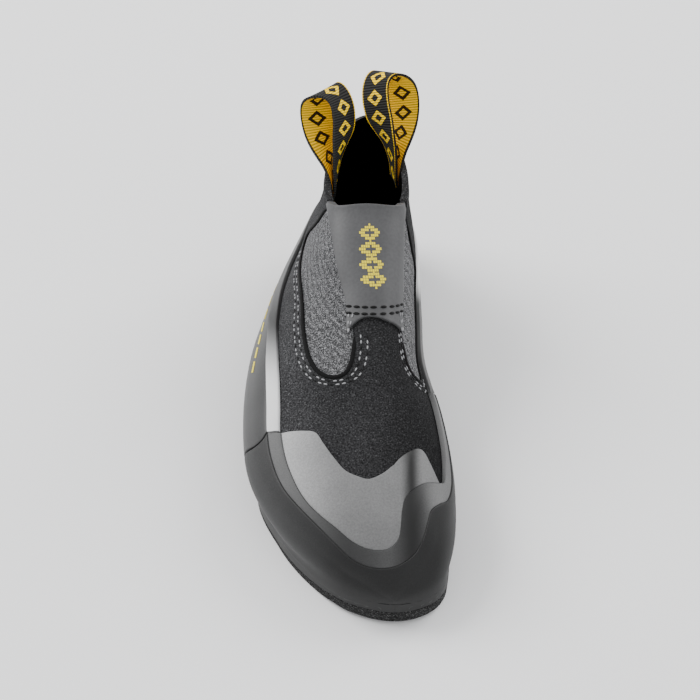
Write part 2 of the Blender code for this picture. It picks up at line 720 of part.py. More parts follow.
def add_pull_loop(loop, finish):
    """Webbing that leaves the collar's inside and stands up as a finger loop."""
    near_wall = -loop_gap - webbing_thick / 2
    inmost = near_wall - webbing_thick - leg_gap
    inside = [tucked_row(loop, drop, inmost) for drop in (loop_tuck, 0)]
    outside = [tucked_row(loop, drop, near_wall) for drop in (0, loop_tuck)]
    foot = (inside[1][1] + outside[0][1]) / 2
    along = unit(inside[1][2] - inside[1][0])
    rows = [*inside, *ring_rows(loop, foot, along), *outside]
    bm = bmesh.new()
    verts = [[bm.verts.new(point) for point in row] for row in rows]
    for near, far in zip(verts, verts[1:]):
        for k in range(2):
            bm.faces.new([near[k], near[k + 1], far[k + 1], far[k]])
    made = add_object(f"pull_loop_{loop.name}", bm, finish)
    solid = made.modifiers.new("webbing", "SOLIDIFY")
    solid.thickness = webbing_thick
    solid.offset = 0
    return made


def main():
    for thing in list(bpy.data.objects):
        bpy.data.objects.remove(thing)
    scene = bpy.context.scene
    scene.collection.children.link(parts)
    scene.collection.children.link(cutters)
    cutters.hide_render = True

    suede = material("black microsuede", (0.035, 0.035, 0.036), 0.9)
    elastic = material("grey twill elastic", (0.15, 0.15, 0.15), 0.85)
    coated = material("smooth grey microfibre", (0.13, 0.13, 0.13), 0.5)
    patch = material("light grey rubber", (0.42, 0.42, 0.42), 0.65)
    band = material("mid grey rubber", (0.16, 0.16, 0.16), 0.5)
    rubber = material("black rand rubber", (0.03, 0.03, 0.03), 0.45)
    sling = material("grey rand rubber", (0.11, 0.11, 0.11), 0.5)
    tread = material("black climbing rubber", (0.018, 0.018, 0.018), 0.6)
    board = material("grey board", (0.2, 0.2, 0.19), 0.8)
    webbing = material("yellow and black webbing", (0.53, 0.29, 0.02), 0.7)

    add_upper(suede)
    add_gore("gore_lateral", gore_lateral_edge, elastic)
    add_gore("gore_medial", gore_medial_edge, elastic)
    add_instep_band(coated)
    add_toe_patch(patch)
    add_toe_band(band)
    add_toe_rand(rubber)
    add_heel_rand(sling)
    inside = (-insole_thick - layer_gap, -layer_gap)
    add_board("insole", insole_start, insole_end, insole_half, *inside, board)
    under = (overlay_base, rand_face)
    add_board("midsole", midsole_start, midsole_end, midsole_half, *under, board)
    form = closed_form("sole_seat", sole_base)
    add_outsole(form, tread)
    add_heel_sole(form, tread)
    for loop in pull_loops:
        add_pull_loop(loop, webbing)


main()
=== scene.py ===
import math
from collections import Counter

import bpy
import numpy as np
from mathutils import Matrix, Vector


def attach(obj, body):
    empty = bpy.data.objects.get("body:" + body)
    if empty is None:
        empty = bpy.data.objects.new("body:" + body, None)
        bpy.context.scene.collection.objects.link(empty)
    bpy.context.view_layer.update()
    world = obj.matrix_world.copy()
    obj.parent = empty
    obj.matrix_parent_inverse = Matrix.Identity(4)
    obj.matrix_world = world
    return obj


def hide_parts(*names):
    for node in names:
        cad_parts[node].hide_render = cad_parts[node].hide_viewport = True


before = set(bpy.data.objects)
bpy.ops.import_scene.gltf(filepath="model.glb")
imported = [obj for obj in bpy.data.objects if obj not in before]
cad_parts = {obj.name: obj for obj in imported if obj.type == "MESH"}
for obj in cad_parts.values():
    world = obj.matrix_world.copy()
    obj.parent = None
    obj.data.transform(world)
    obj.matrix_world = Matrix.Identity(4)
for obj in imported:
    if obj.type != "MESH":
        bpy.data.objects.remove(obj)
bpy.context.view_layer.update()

bpy.ops.object.select_all(action="DESELECT")
mm = 0.001


# The last, which every layer is wrapped on

last = {
    "length": 226.6 * mm,
    "ballWidth": 77.0 * mm,
    "collarHeight": 76.0 * mm,
    "heelSetback": 24.6 * mm,
    "seatHeight": 8.0 * mm,
    # a row for each section: runs and rises of its top and low points, ridge, axis, half
    # widths, heights of the widest places, fullness of the crown and of the sole's corner
    "rows": [
        (0.320, 1.053, 0.016, 1.000, 0.000, 0.000, 0.208, 0.214, 0.60, 0.60, 0.78, 0.55),
        (0.349, 0.961, 0.027, 0.816, 0.000, 0.000, 0.208, 0.214, 0.60, 0.60, 0.78, 0.52),
        (0.400, 0.879, 0.022, 0.566, 0.006, -0.006, 0.240, 0.240, 0.54, 0.52, 0.76, 0.50),
        (0.448, 0.803, 0.002, 0.316, 0.019, -0.013, 0.299, 0.273, 0.46, 0.44, 0.70, 0.52),
        (0.492, 0.734, 0.014, 0.099, 0.039, -0.019, 0.348, 0.299, 0.40, 0.38, 0.62, 0.56),
        (0.532, 0.674, 0.095, 0.000, 0.052, -0.039, 0.406, 0.312, 0.36, 0.40, 0.56, 0.62),
        (0.576, 0.613, 0.263, 0.033, 0.065, -0.071, 0.468, 0.338, 0.34, 0.44, 0.53, 0.62),
        (0.634, 0.550, 0.440, 0.099, 0.071, -0.110, 0.494, 0.377, 0.32, 0.46, 0.52, 0.62),
        (0.700, 0.489, 0.603, 0.055, 0.091, -0.110, 0.513, 0.451, 0.30, 0.44, 0.52, 0.68),
        (0.775, 0.426, 0.740, -0.003, 0.117, -0.052, 0.532, 0.444, 0.30, 0.42, 0.52, 0.74),
        (0.850, 0.363, 0.846, -0.003, 0.143, 0.013, 0.465, 0.390, 0.32, 0.42, 0.52, 0.78),
        (0.921, 0.282, 0.925, 0.005, 0.156, 0.065, 0.344, 0.312, 0.36, 0.42, 0.52, 0.78),
        (0.978, 0.168, 0.978, 0.024, 0.149, 0.104, 0.195, 0.201, 0.45, 0.45, 0.55, 0.70),
        (1.000, 0.079, 1.000, 0.079, 0.130, 0.130, 0.000, 0.000, 0.50, 0.50, 0.60, 0.60),
    ],
}
toeStation = len(last["rows"]) - 1


def unit(ways):
    # each way at length 1
    ways = np.asarray(ways, float)
    return ways / np.maximum(np.linalg.norm(ways, axis=-1, keepdims=True), 1e-15)


def cross2(a, b):
    return a[..., 0] * b[..., 1] - a[..., 1] * b[..., 0]


def runAlong(line):
    # the length of a line as far as each of its points
    return np.concatenate([[0], np.cumsum(np.linalg.norm(np.diff(line, axis=0), axis=1))])


def blendThrough(a, b, c, d, u):
    # a smooth curve that passes b at u 0 and c at u 1
    bend = 2 * a - 5 * b + 4 * c - d
    twist = 3 * b - a - 3 * c + d
    return b + 0.5 * u * ((c - a) + u * (bend + u * twist))


def bezier(a, b, c, d, u):
    v = 1 - u
    return v**3 * a + 3 * v * v * u * b + 3 * v * u * u * c + u**3 * d


def sectionRows(stations):
    rows = np.array(last["rows"])
    before = 2 * rows[0] - rows[1]
    beyond = rows[-2].copy()  # past the toe the sections turn over, which rounds the tip
    beyond[[0, 1, 2, 3]] = beyond[[2, 3, 0, 1]]
    beyond[[6, 7]] *= -1
    rows = np.vstack([before, rows, beyond])
    stations = np.clip(stations, 0, toeStation - 1e-9)
    first = stations.astype(int)
    u = (stations - first)[:, None]
    return blendThrough(rows[first], rows[first + 1], rows[first + 2], rows[first + 3], u)


def formPoints(stations, arounds):
    # around is 0 on the instep ridge, -1 or 1 in the middle of the sole
    stations, arounds = np.atleast_1d(stations).astype(float), np.atleast_1d(arounds).astype(float)
    (topRun, topRise, lowRun, lowRise, ridge, axis, lateral, medial, lateralRise,
     medialRise, crown, corner) = sectionRows(stations).T
    isLateral = arounds < 0
    width = np.where(isLateral, -lateral, medial)
    widest = np.where(isLateral, lateralRise, medialRise)
    share = np.abs(arounds) * 2
    over = share <= 1
    u = np.where(over, share, share - 1)
    side = axis + width
    crownX = ridge + crown * (side - ridge)
    crownZ = widest + crown * (1 - widest)
    across = np.where(over, bezier(ridge, crownX, side, side, u),
                      bezier(side, side, axis + corner * width, axis, u))
    height = np.where(over, bezier(1, 1, crownZ, widest, u),
                      bezier(widest, widest * (1 - corner), 0, 0, u))
    run = lowRun + (topRun - lowRun) * height
    rise = lowRise + (topRise - lowRise) * height
    return np.column_stack([across * last["ballWidth"],
                            last["heelSetback"] - run * last["length"],
                            last["seatHeight"] + rise * last["collarHeight"]])


def formNormals(stations, arounds):
    step = 1e-3
    ahead = formPoints(np.minimum(stations + step, toeStation), arounds)
    behind = formPoints(np.maximum(stations - step, 0), arounds)
    left = formPoints(stations, (arounds - step + 1) % 2 - 1)
    right = formPoints(stations, (arounds + step + 1) % 2 - 1)
    normals = unit(np.cross(ahead - behind, right - left))
    normals[stations > toeStation - 1e-4] = (0, -1, 0)
    return normals


def lifted(stations, arounds, offset):
    stations, arounds = np.atleast_1d(stations).astype(float), np.atleast_1d(arounds).astype(float)
    lift = np.broadcast_to(offset, stations.shape)[:, None]
    return formPoints(stations, arounds) + lift * formNormals(stations, arounds)


# Flat patterns: a place on the last is a station and an around, and the same place on the
# flat pattern is in metres along and across

stationTable = np.linspace(0, toeStation, 1301)
flanks = [formPoints(stationTable, np.full(1301, around)) for around in (-0.25, 0.25)]
spineTable = runAlong((flanks[0] + flanks[1]) / 2)
halfGirth = 115 * mm


def toPattern(path):
    path = np.asarray(path, float)
    return np.column_stack([np.interp(path[:, 0], stationTable, spineTable), path[:, 1] * halfGirth])


def fromPattern(flat):
    flat = np.asarray(flat, float)
    return np.column_stack([np.interp(flat[:, 0], spineTable, stationTable), flat[:, 1] / halfGirth])


def smoothPath(spots, steps=8):
    points = np.array(spots, float)
    points = np.vstack([2 * points[0] - points[1], points, 2 * points[-1] - points[-2]])
    path = []
    for a, b, c, d in zip(points, points[1:], points[2:], points[3:]):
        path += [blendThrough(a, b, c, d, u) for u in np.arange(steps) / steps]
    return np.array([*path, points[-2]])


def smoothRing(spots):
    return smoothPath([*spots, spots[0]], steps=6)[:-1]


def distanceTo(places, path):
    # metres on the flat pattern from each place to the nearest point of an open path
    flat, line = toPattern(places), toPattern(path)
    nearest = np.full(len(flat), 1.0)
    for start, end in zip(line[:-1], line[1:]):
        run = end - start
        share = np.clip(((flat - start) @ run) / max(run @ run, 1e-18), 0, 1)
        nearest = np.minimum(nearest, np.linalg.norm(flat - start - share[:, None] * run, axis=1))
    return nearest


def nearness(places, path, reach):
    return np.clip(1 - distanceTo(places, path) / reach, 0, 1)


def roundOff(distance, radius):
    # how far a rounded edge falls below the face, by the distance in from the edge
    inward = 1 - np.clip(distance / radius, 0, 1)
    return radius * (1 - np.sqrt(1 - inward**2))


# Colours and nodes

def hexColour(code):
    parts = [int(code[k:k + 2], 16) / 255 for k in (1, 3, 5)]
    return (*[c / 12.92 if c <= 0.04045 else ((c + 0.055) / 1.055) ** 2.4 for c in parts], 1)


def addNode(tree, kind, inputs=(), output=0, ramp=None, **settings):
    # inputs are named, or in the order of the node's sockets; the result is one output
    node = tree.nodes.new("ShaderNode" + kind)
    for name, value in settings.items():
        setattr(node, name, value)
    if ramp:
        elements = node.color_ramp.elements
        elements[0].position, elements[-1].position = ramp[0][0], ramp[-1][0]
        elements[0].color, elements[-1].color = hexColour(ramp[0][1]), hexColour(ramp[-1][1])
        for place, colour in ramp[1:-1]:
            elements.new(place).color = hexColour(colour)
    for socket, value in inputs.items() if isinstance(inputs, dict) else enumerate(inputs):
        if isinstance(value, bpy.types.NodeSocket):
            tree.links.new(value, node.inputs[socket])
        else:
            node.inputs[socket].default_value = value
    return node.outputs[output]


def startMaterial(name, roughness, specular=0.5):
    made = bpy.data.materials.new(name)
    made.use_nodes = True
    shader = made.node_tree.nodes["Principled BSDF"]
    shader.inputs["Roughness"].default_value = roughness
    shader.inputs["Specular IOR Level"].default_value = specular
    return made, made.node_tree, shader


def coverShader(tree, shader, colour, height, strength, depth):
    # a colour, and a relief as deep as given in metres where its height is 1
    tree.links.new(colour, shader.inputs["Base Color"])
    relief = addNode(tree, "Bump", {"Height": height, "Strength": strength, "Distance": depth})
    tree.links.new(relief, shader.inputs["Normal"])


# where the painted light and shade change across the foot, by Object X; the painted shade of the
# fold lies beside the big toe
footAcross = {"lateral": -42 * mm, "middle": -8 * mm, "medial": 30 * mm, "fold": 16.8 * mm}


def patternMaterial(name, roughness, colours, grain, speck, bump, specular, mottle=0.12,
                    paintedLightAcross=(1, 1, 1), fold=None):
    # a face with specks of a size in metres, a slow mottle, and a bump from the specks; painted
    # light may change across the foot, from the lateral edge over the middle to the medial edge,
    # and painted shade darkens the soft fold beside the big toe, by a strength and a half width
    made, tree, shader = startMaterial(name, roughness, specular)
    place = addNode(tree, "TexCoord", output="Object")
    specks = addNode(tree, "TexNoise", {"Vector": place, "Scale": 1 / speck, "Detail": 3.0,
                     "Roughness": grain}, "Fac")
    colour = addNode(tree, "ValToRGB", [specks], ramp=colours)
    # the mottle's patches are about 22 mm wide
    slow = addNode(tree, "TexNoise", {"Vector": place, "Scale": 45.0, "Detail": 2.0}, "Fac")
    shade = addNode(tree, "MapRange", (slow, 0.3, 0.7, 1 - mottle, 1 + mottle))
    across = addNode(tree, "SeparateXYZ", [place])
    lateral, middle, medial, foldLine = footAcross.values()
    paintedLightAndShade = [(across, lateral, middle, paintedLightAcross[0], paintedLightAcross[1]),
             (across, middle, medial, 1.0, paintedLightAcross[2] / paintedLightAcross[1])]
    # painted shade: the colour darkens near the fold line beside the big toe
    if fold:
        beside = addNode(tree, "Math", (across, foldLine), operation="SUBTRACT")
        beside = addNode(tree, "Math", [beside], operation="ABSOLUTE")
        paintedLightAndShade.append((beside, 0, fold[1], 1 - fold[0], 1))
    for inputs in paintedLightAndShade:
        part = addNode(tree, "MapRange", inputs, interpolation_type="SMOOTHSTEP")
        shade = addNode(tree, "Math", (shade, part), operation="MULTIPLY")
    shaded = addNode(tree, "VectorMath", {0: colour, "Scale": shade}, operation="SCALE")
    coverShader(tree, shader, shaded, specks, bump, speck / 2)
    return made


# Napped microfibre suede: short fibres stand up and catch the light in specks
# painted light: the colour is lighter on the lateral side and darker on the medial side
suede = patternMaterial(
    "napped microsuede", 0.95, [(0.34, "#101010"), (0.50, "#29292a"), (0.62, "#3c3c3d"),
    (0.76, "#68686a")], 0.72, 0.62 * mm, 0.5, paintedLightAcross=(2.0, 1.0, 0.55), specular=0.1)
# Black knitted lining, matt and deep in shadow
lining = patternMaterial(
    "black knitted lining", 1.0, [(0.3, "#030303"), (0.7, "#070707")], 0.5, 0.9 * mm, 0.3,
    specular=0.0)
# The same microfibre, cut and folded as a binding, a little smoother than the suede
bindingCloth = patternMaterial(
    "folded microfibre binding", 0.9, [(0.36, "#101011"), (0.53, "#242425"), (0.72, "#6a6a6c")],
    0.75, 0.7 * mm, 0.5, mottle=0.2, specular=0.15)
# Black woven tape round the gores, which stays dark
pipingTape = patternMaterial(
    "black woven tape", 0.8, [(0.3, "#040404"), (0.7, "#101010")], 0.6, 0.7 * mm, 0.4,
    specular=0.15)
# Coated microfibre, calendered smooth, with a faint grain
coatedBand = patternMaterial(
    "calendered microfibre", 0.48, [(0.3, "#474748"), (0.7, "#4d4d4e")], 0.4, 1.2 * mm, 0.03,
    mottle=0.08, specular=0.35)
# Moulded rubber, satin from the mould, with painted light: lighter on the lateral side and on the
# medial flare, darker at the toe, with painted shade in the fold beside the big toe
moulded = patternMaterial(
    "moulded mid grey rubber", 0.5, [(0.3, "#353535"), (0.7, "#3f3f3f")], 0.5, 0.5 * mm, 0.05,
    mottle=0.12, paintedLightAcross=(2.0, 0.50, 2.7), fold=(0.94, 12 * mm), specular=0.35)
# Black rubber with painted light: lighter on the lateral side, a little darker toward the medial
# side
randRubber = patternMaterial(
    "calendered black rubber", 0.5, [(0.3, "#141414"), (0.66, "#1d1d1d"), (0.78, "#2e2e2e")], 0.7,
    0.5 * mm, 0.08, mottle=0.15, paintedLightAcross=(2.7, 0.95, 0.85), specular=0.3)
slingRubber = patternMaterial(
    "calendered grey rubber", 0.42, [(0.3, "#303030"), (0.7, "#3a3a3a")], 0.55, 0.5 * mm, 0.05,
    mottle=0.12, specular=0.4)
# Sole rubber, ground flush with a belt, so its edge is speckled with dust
groundSole = patternMaterial(
    "ground sole rubber", 0.85, [(0.40, "#0b0b0b"), (0.52, "#1b1b1b"), (0.68, "#6b6b6b")], 0.85,
    0.6 * mm, 0.5, specular=0.15)
boardCloth = patternMaterial(
    "pressed fibre board", 0.9, [(0.3, "#0c0c0c"), (0.7, "#161616")], 0.6, 0.9 * mm, 0.3,
    specular=0.1)


def twillMaterial():
    # Stretch twill of mixed grey yarn: specks of pale yarn on fine diagonal wales, which are
    # drawn 1.2 mm apart, coarser than the real half millimetre, so that they show
    wales, yarn, walesWeight = 1.2 * mm, 0.55 * mm, 0.045
    made, tree, shader = startMaterial("stretch twill of mixed yarn", 0.9, 0.1)
    place = addNode(tree, "TexCoord", output="Object")
    flat = (place.node.outputs["UV"], (1, -1, 1))
    turned = addNode(tree, "VectorMath", flat, operation="MULTIPLY")
    waves = addNode(tree, "TexWave", {"Vector": turned, "Scale": 1 / wales / (2 * math.pi),
                    "Distortion": 0.6, "Detail": 1.0, "Detail Scale": 2.0}, "Fac",
                    wave_type="BANDS", bands_direction="DIAGONAL")
    specks = addNode(tree, "TexNoise", {"Vector": place, "Scale": 1 / yarn, "Detail": 2.0,
                     "Roughness": 0.8}, "Fac")
    mixed = addNode(tree, "Math", (waves, walesWeight, specks), operation="MULTIPLY_ADD")
    colour = addNode(tree, "ValToRGB", [mixed],
                     ramp=[(0.38, "#1f1f20"), (0.53, "#4c4c4d"), (0.72, "#a4a4a6")])
    coverShader(tree, shader, colour, mixed, 0.5, 0.3 * mm)
    return made


skivedShape = {
    "lateralHighlight": (5.9, 7.7),  # stations where the painted highlight begins and is full
    "medialHighlight": (5.0, 5.6),  # stations where it begins to end and is gone
    "medialSide": (0.70, 0.88),  # and the arounds where it does so
}


def skivedHighlightMaterial():
    # The skived edge of the sling, with a painted highlight where it faces up: over the ball of
    # the foot on the lateral side, and round the heel on the medial side. The map is in metres.
    made, tree, shader = startMaterial("skived rubber edge, painted highlight", 0.38)
    along = addNode(tree, "SeparateXYZ", [addNode(tree, "TexCoord", output="UV")])
    across = along.node.outputs["Y"]
    ends = [[toPattern([(station, 0)])[0][0] for station in skivedShape[side]]
            for side in ("lateralHighlight", "medialHighlight")]
    sides = [around * halfGirth for around in skivedShape["medialSide"]]
    lateral, medial, shade = (
        addNode(tree, "MapRange", inputs, interpolation_type="SMOOTHSTEP")
        for inputs in ((along, *ends[0], 0, 1), (along, *ends[1], 0.9, 0), (across, *sides, 1, 0)))
    medial = addNode(tree, "Math", (medial, shade), operation="MULTIPLY")
    isMedial = addNode(tree, "Math", (across, 0), operation="GREATER_THAN")
    # the strength of the painted highlight, on the lateral or the medial side, which turns the dark
    # grey toward pale grey
    pale = addNode(tree, "Mix", {0: isMedial, 2: lateral, 3: medial})
    colour = addNode(tree, "Mix", {0: pale, 6: hexColour("#2c2c2c"), 7: hexColour("#dadada")},
                     2, data_type="RGBA")
    tree.links.new(colour, shader.inputs["Base Color"])
    return made


# Light grey rubber sheet, with painted light: lighter on the lateral side and darker from the middle
# to the medial side, with painted shade in the fold beside the big toe
patchRubber = patternMaterial(
    "light grey rubber, painted light and shade", 0.55, [(0.34, "#7e7e7e"), (0.5, "#888888"), (0.68, "#929292")],
    0.65, 0.7 * mm, 0.06, mottle=0.1, paintedLightAcross=(1.75, 0.60, 0.60), fold=(0.95, 5 * mm), specular=0.35)
twill = twillMaterial()
skivedEdgeHighlight = skivedHighlightMaterial()


def plainMaterial(name, colour, roughness, specular=0.5):
    made, _, shader = startMaterial(name, roughness, specular)
    shader.inputs["Base Color"].default_value = hexColour(colour)
    return made


# Ink in a thin even film, and twisted thread with a slight sheen
yellowPrint = plainMaterial("screen printed yellow ink", "#e9d530", 0.5, specular=0.3)
threadPale = plainMaterial("pale polyester thread", "#8e8e90", 0.6)
threadDark = plainMaterial("black polyester thread", "#060606", 0.6, specular=0.2)


# Layers wrapped on the last

def selectOnly(piece):
    bpy.ops.object.select_all(action="DESELECT")
    piece.select_set(True)
    bpy.context.view_layer.objects.active = piece


def editAll(piece):
    # all of the mesh, selected in edit mode
    selectOnly(piece)
    bpy.ops.object.mode_set(mode="EDIT")
    bpy.ops.mesh.select_all(action="SELECT")


def meshFrom(name, points, faces, finishes, faceSlots=None, smooth=True):
    mesh = bpy.data.meshes.new(name)
    mesh.from_pydata([tuple(p) for p in points], [], [tuple(int(k) for k in f) for f in faces])
    piece = bpy.data.objects.new(name, mesh)
    bpy.context.scene.collection.objects.link(piece)
    for finish in finishes:
        mesh.materials.append(finish)
    if faceSlots is not None:
        mesh.polygons.foreach_set("material_index", faceSlots)
    if smooth:
        mesh.polygons.foreach_set("use_smooth", [True] * len(mesh.polygons))
    editAll(piece)
    bpy.ops.mesh.remove_doubles(threshold=0.001 * mm)
    bpy.ops.mesh.normals_make_consistent(inside=False)
    bpy.ops.object.mode_set(mode="OBJECT")
    return piece


def tidyOutline(path):
    # the path on the flat pattern, without spots that fall on one another
    flat = toPattern(path)
    step = np.linalg.norm(flat - np.roll(flat, 1, axis=0), axis=1)
    return flat[step > 0.01 * mm]


def wayRound(flat):
    # 1 for an outline that runs anticlockwise, -1 for one that runs clockwise
    return np.sign(np.sum(cross2(flat, np.roll(flat, -1, axis=0))))


def insetOutline(flat, shared, depth):
    # the outline moved inwards, except along edges that another outline shares
    sharpTurn, cornerReach = 1.7, 0.7
    ahead = np.roll(flat, -1, axis=0) - flat
    step = np.linalg.norm(ahead, axis=1)
    ahead = ahead / step[:, None]
    turned = wayRound(flat)
    inward = turned * np.column_stack([-ahead[:, 1], ahead[:, 0]])
    behind, inwardBehind, sharedBehind = (np.roll(a, 1, axis=0) for a in (ahead, inward, shared))
    straight = np.sum(ahead * behind, axis=1)
    way = (inward + inwardBehind) / np.maximum(1 + straight, 0.5)[:, None]
    way[shared & ~sharedBehind] = ahead[shared & ~sharedBehind]
    way[~shared & sharedBehind] = -behind[~shared & sharedBehind]
    way[shared & sharedBehind] = 0
    turn = turned * np.arctan2(cross2(behind, ahead), straight)
    place = np.concatenate([[0], np.cumsum(step)])
    reach = np.full(len(flat), depth)
    for corner in np.flatnonzero((turn > sharpTurn) & ~shared & ~sharedBehind):
        away = np.abs(place[:-1] - place[corner])
        away = np.minimum(away, place[-1] - away)
        reach = np.minimum(reach, cornerReach * away * math.tan((math.pi - turn[corner]) / 2))
    return flat + way * reach[:, None]


def edgeKeys(flat):
    # each edge of an outline by its two ends, whichever way it runs
    ends = [tuple(spot) for spot in np.round(flat, 7)]
    return [frozenset(pair) for pair in zip(ends, ends[1:] + ends[:1])]


def layFlat(name, outlines, finishes, rings, step):
    # outlines as flat sheets, ringed along their edges and divided into small cells
    flats = [tidyOutline(path) for slot, path in outlines]
    uses = Counter(key for flat in flats for key in edgeKeys(flat))
    points, faces, slots = [], [], []
    for (slot, path), flat in zip(outlines, flats):
        shared = np.array([uses[key] > 1 for key in edgeKeys(flat)])
        onCut = np.abs(np.abs(flat[:, 1]) - halfGirth) < 1e-6  # joined again round the last
        shared |= onCut & np.roll(onCut, -1)
        loops = [flat, *(insetOutline(flat, shared, depth) for depth in rings)]
        first, count = len(points), len(flat)
        for loop in loops:
            points += [(x, y, 0) for x, y in loop]
        for ring in range(len(loops) - 1):
            near = first + ring * count
            for k in range(count):
                n = (k + 1) % count
                faces.append((near + k, near + n, near + n + count, near + k + count))
        former = first + (len(loops) - 1) * count
        faces.append(tuple(range(former, former + count)))
        slots += [slot] * ((len(loops) - 1) * count + 1)
    piece = meshFrom(name, points, faces, finishes, slots, smooth=False)
    low, high = np.array(piece.bound_box).min(0), np.array(piece.bound_box).max(0)
    editAll(piece)
    bpy.ops.mesh.dissolve_degenerate(threshold=0.001 * mm)
    for axis in (0, 1):
        normal = (1 - axis, axis, 0)
        for line in np.arange(math.ceil(low[axis] / step) * step, high[axis], step):
            place = (line, 0, 0) if axis == 0 else (0, line, 0)
            bpy.ops.mesh.select_all(action="SELECT")
            bpy.ops.mesh.bisect(plane_co=place, plane_no=normal, threshold=1e-6)
    bpy.ops.object.mode_set(mode="OBJECT")
    return piece


def wrapOnLast(piece, edges, inner, outer, rounding, liningSlot):
    # a flat sheet laid on the last, given its inner and outer face and its rounded edges
    mesh = piece.data
    places = fromPattern([vert.co[:2] for vert in mesh.vertices])
    for name, values in zip(("station", "around"), places.T.astype(np.float32)):
        layer = mesh.attributes.new(name, "FLOAT", "POINT")
        layer.data.foreach_set("value", values.copy())
    for vert, point in zip(mesh.vertices, lifted(places[:, 0], places[:, 1], 0)):
        vert.co = point
    editAll(piece)
    bpy.ops.mesh.remove_doubles(threshold=0.002 * mm)
    bpy.ops.mesh.extrude_region_move(TRANSFORM_OT_translate={"value": (0, 0, 0)})
    bpy.ops.object.mode_set(mode="OBJECT")

    values = np.zeros((2, len(mesh.vertices)), np.float32)
    for name, row in zip(("station", "around"), values):
        mesh.attributes[name].data.foreach_get("value", row)
        mesh.attributes.remove(mesh.attributes[name])
    places = values.T.astype(float)
    isOuter = np.array([vert.select for vert in mesh.vertices])
    edge = np.min([distanceTo(places, path) for path in edges], axis=0)
    outerLift, innerLift = (lift(places) if callable(lift) else lift for lift in (outer, inner))
    lift = np.where(isOuter, outerLift - roundOff(edge, rounding), innerLift)
    points = lifted(places[:, 0], places[:, 1], lift)
    mesh.vertices.foreach_set("co", points.astype(np.float32).ravel())

    uv = mesh.uv_layers.new(name="pattern")  # metres on the flat pattern
    flat = toPattern(places)
    for face in mesh.polygons:
        spots = flat[list(face.vertices)]
        if np.ptp(spots[:, 1]) > halfGirth:  # a face at the centre back, where the map is cut
            spots[:, 1] = np.copysign(spots[:, 1], np.median(spots[:, 1]))
        for corner, spot in zip(face.loop_indices, spots):
            uv.data[corner].uv = spot
    if liningSlot is not None:
        for face in mesh.polygons:
            if not any(isOuter[k] for k in face.vertices):
                face.material_index = liningSlot
    editAll(piece)
    bpy.ops.mesh.normals_make_consistent(inside=False)
    bpy.ops.object.mode_set(mode="OBJECT")
    bpy.ops.object.shade_smooth_by_angle(angle=math.radians(32))
    return piece


def closedPath(path):
    return np.vstack([path, path[:1]])


def makeLayer(name, outlines, inner, outer, finishes, edges=None, rounding=0.5 * mm,
              step=1.8 * mm, liningSlot=None):
    rings = (0.2 * rounding, 0.55 * rounding, rounding)
    piece = layFlat(name, outlines, finishes, rings, step)
    if edges is None:
        edges = [closedPath(path) for slot, path in outlines]
    return wrapOnLast(piece, edges, inner, outer, rounding, liningSlot)


def finishPiece(piece, slot, *nodes):
    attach(piece, "root")
    if nodes:
        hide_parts(*nodes)


# The upper

upperShape = {
    "wall": 1.8 * mm,
    "rounding": 0.6 * mm,
    "rim": [
        (0.30, -1.0), (0.60, -0.75), (0.95, -0.50), (0.95, -0.25), (0.62, 0.0), (0.95, 0.25),
        (0.95, 0.50), (0.60, 0.75), (0.30, 1.0)],
    "opening": [
        (5.20, 1.0), (5.35, 0.93), (5.80, 0.90), (11.80, 0.90), (12.12, 0.94), (12.20, 1.0)],
}
goreShape = {  # each outline starts at its tip on the rim
    "inner": 0.3 * mm,
    "outer": 1.35 * mm,
    "lateral": [
        (1.30, -0.330), (1.75, -0.392), (2.40, -0.430), (3.20, -0.465), (3.80, -0.452),
        (4.20, -0.405), (4.65, -0.330), (5.20, -0.278), (5.90, -0.236), (6.60, -0.200),
        (7.05, -0.165), (7.22, -0.128), (7.12, -0.092), (6.70, -0.073), (5.90, -0.070),
        (4.85, -0.086), (3.95, -0.106), (3.00, -0.142), (2.10, -0.185), (1.60, -0.245)],
    "medial": [
        (1.42, 0.297), (1.90, 0.250), (2.60, 0.218), (3.60, 0.188), (4.60, 0.176), (5.50, 0.178),
        (6.20, 0.192), (6.80, 0.228), (7.18, 0.280), (7.36, 0.345), (7.34, 0.405), (7.05, 0.432),
        (6.20, 0.425), (5.20, 0.405), (4.10, 0.372), (2.90, 0.338), (1.90, 0.324)],
}
rimPath = smoothPath(upperShape["rim"])


def rimStation(around):
    return np.interp(around, rimPath[:, 1], rimPath[:, 0])


def goreSides(spots):
    # the outline from its tip to its foot, and from there back to the tip
    ring = smoothRing(spots)
    foot = np.argmax(ring[:, 0])
    return ring[: foot + 1], np.vstack([ring[foot:], ring[:1]])


